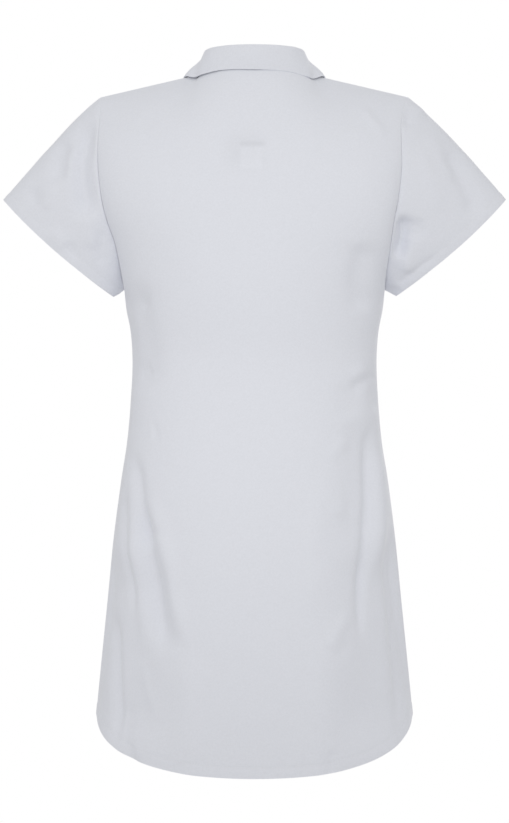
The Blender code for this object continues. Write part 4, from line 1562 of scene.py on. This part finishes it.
CAMERA_DISTANCE = 2.6
VIEW_HEIGHT = 1.0699
VIEW_CENTRE_Z = -0.43875
SENSOR_WIDTH = 36.0
LIGHT_SIZE = 1.3
LIGHT_SPREAD = 92.0
LIGHT_AIM_Z = -0.3
LIGHT_BELOW = 0.275
LIGHT_ABOVE = 0.66
LIGHT_SIDES = 0.29
FLOOR_Z = -1.3
FLOOR_RADIUS = 1.45
FLOOR_COLOUR = (0.8, 0.8, 0.81)
# name, place, power
LAMPS = (
    ("key_light", (0.05, 1.15, -0.15), 1.6),
    ("front_light", (-0.5, -1.9, 0.1), 4.2),
)


class CoatStage(bpy.types.Operator):
    """Pale floor, soft studio light, white surround and the camera"""

    bl_idname = "coat.stage"
    bl_label = "Stage"

    def execute(self, context):
        scene = context.scene
        self.floor()
        for lamp in LAMPS:
            self.light(*lamp)
        self.surround(scene)
        camera = added(
            bpy.ops.object.camera_add,
            location=(0.0, CAMERA_DISTANCE, VIEW_CENTRE_Z),
            rotation=(math.radians(90), 0.0, math.radians(180)),
        )
        camera.name = "camera"
        camera.data.sensor_width = SENSOR_WIDTH
        camera.data.lens = SENSOR_WIDTH * CAMERA_DISTANCE / VIEW_HEIGHT
        scene.camera = camera
        scene.view_settings.view_transform = "Standard"
        return {"FINISHED"}

    def floor(self):
        disc = {"vertices": 96, "radius": FLOOR_RADIUS, "fill_type": "NGON"}
        floor = added(bpy.ops.mesh.primitive_circle_add, location=(0, 0, FLOOR_Z), **disc)
        floor.name = "floor"
        floor.data.materials.append(fresh_material("pale_floor", FLOOR_COLOUR, Roughness=0.9)[0])

    def light(self, name, place, power):
        light = added(bpy.ops.object.light_add, type="AREA", location=place)
        light.name = name
        light.data.shape = "DISK"
        light.data.size = LIGHT_SIZE
        light.data.energy = power
        light.data.spread = math.radians(LIGHT_SPREAD)
        light.visible_camera = False
        aim = Vector((0.0, 0.0, LIGHT_AIM_Z)) - Vector(place)
        light.rotation_euler = aim.to_track_quat("-Z", "Y").to_euler()

    def surround(self, scene):
        """White to the camera; to the cloth a grey room, lighter above and at both sides."""
        scene.world = world = bpy.data.worlds.new("studio")
        world.use_nodes = True
        tree = world.node_tree
        split = node(tree, "SeparateXYZ", node(tree, "TexCoord").outputs["Generated"]).outputs
        height = node(
            tree, "MapRange", split["Z"], From_Min=-1.0, To_Min=LIGHT_BELOW, To_Max=LIGHT_ABOVE
        ).outputs["Result"]
        sides = arithmetic(tree, "MULTIPLY", split["X"], split["X"])
        room = tree.nodes["Background"]
        total = arithmetic(tree, "MULTIPLY_ADD", sides, LIGHT_SIDES, height)
        feed(tree, room, {"Color": total, "Strength": 1.0})
        seen = node(tree, "Background", Color=(1.0, 1.0, 1.0, 1.0), Strength=1.0)
        ray = node(tree, "LightPath").outputs["Is Camera Ray"]
        mix = node(tree, "MixShader", ray, room.outputs["Background"], seen.outputs["Background"])
        feed(tree, tree.nodes["World Output"], {"Surface": mix.outputs["Shader"]})


class CoatPanel(bpy.types.Panel):
    """Lists the coat's steps and settings"""

    bl_idname = "COAT_PT_steps"
    bl_label = "Medical Coat"
    bl_space_type = "VIEW_3D"
    bl_region_type = "UI"
    bl_category = "Coat"

    def draw(self, context):
        column = self.layout.column()
        for step in STEPS:
            column.operator(step.bl_idname)
        for group in (context.scene.coat_sizes, context.scene.coat_colours):
            for name in type(group).__annotations__:
                column.prop(group, name)


STEPS = (
    CoatStage,
    CoatBack,
    CoatFronts,
    CoatSleeves,
    CoatLapels,
    CoatCollar,
    CoatLabel,
    CoatButtons,
    CoatButtonholes,
    CoatStitching,
)
GROUPS = (CoatSizes, CoatColours)


def register():
    for kind in (*GROUPS, *STEPS, CoatPanel):
        bpy.utils.register_class(kind)
    bpy.types.Scene.coat_sizes = bpy.props.PointerProperty(type=CoatSizes)
    bpy.types.Scene.coat_colours = bpy.props.PointerProperty(type=CoatColours)


def unregister():
    del bpy.types.Scene.coat_sizes
    del bpy.types.Scene.coat_colours
    for kind in reversed((*GROUPS, *STEPS, CoatPanel)):
        bpy.utils.unregister_class(kind)


def main():
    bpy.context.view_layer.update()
    register()
    bpy.ops.coat.stage()
    bpy.ops.coat.back()
    bpy.ops.coat.fronts()
    bpy.ops.coat.sleeves()
    bpy.ops.coat.lapels()
    bpy.ops.coat.collar()
    bpy.ops.coat.neck_label()
    bpy.ops.coat.buttons()
    bpy.ops.coat.buttonholes()
    bpy.ops.coat.stitching()


if __name__ == "__main__":
    main()
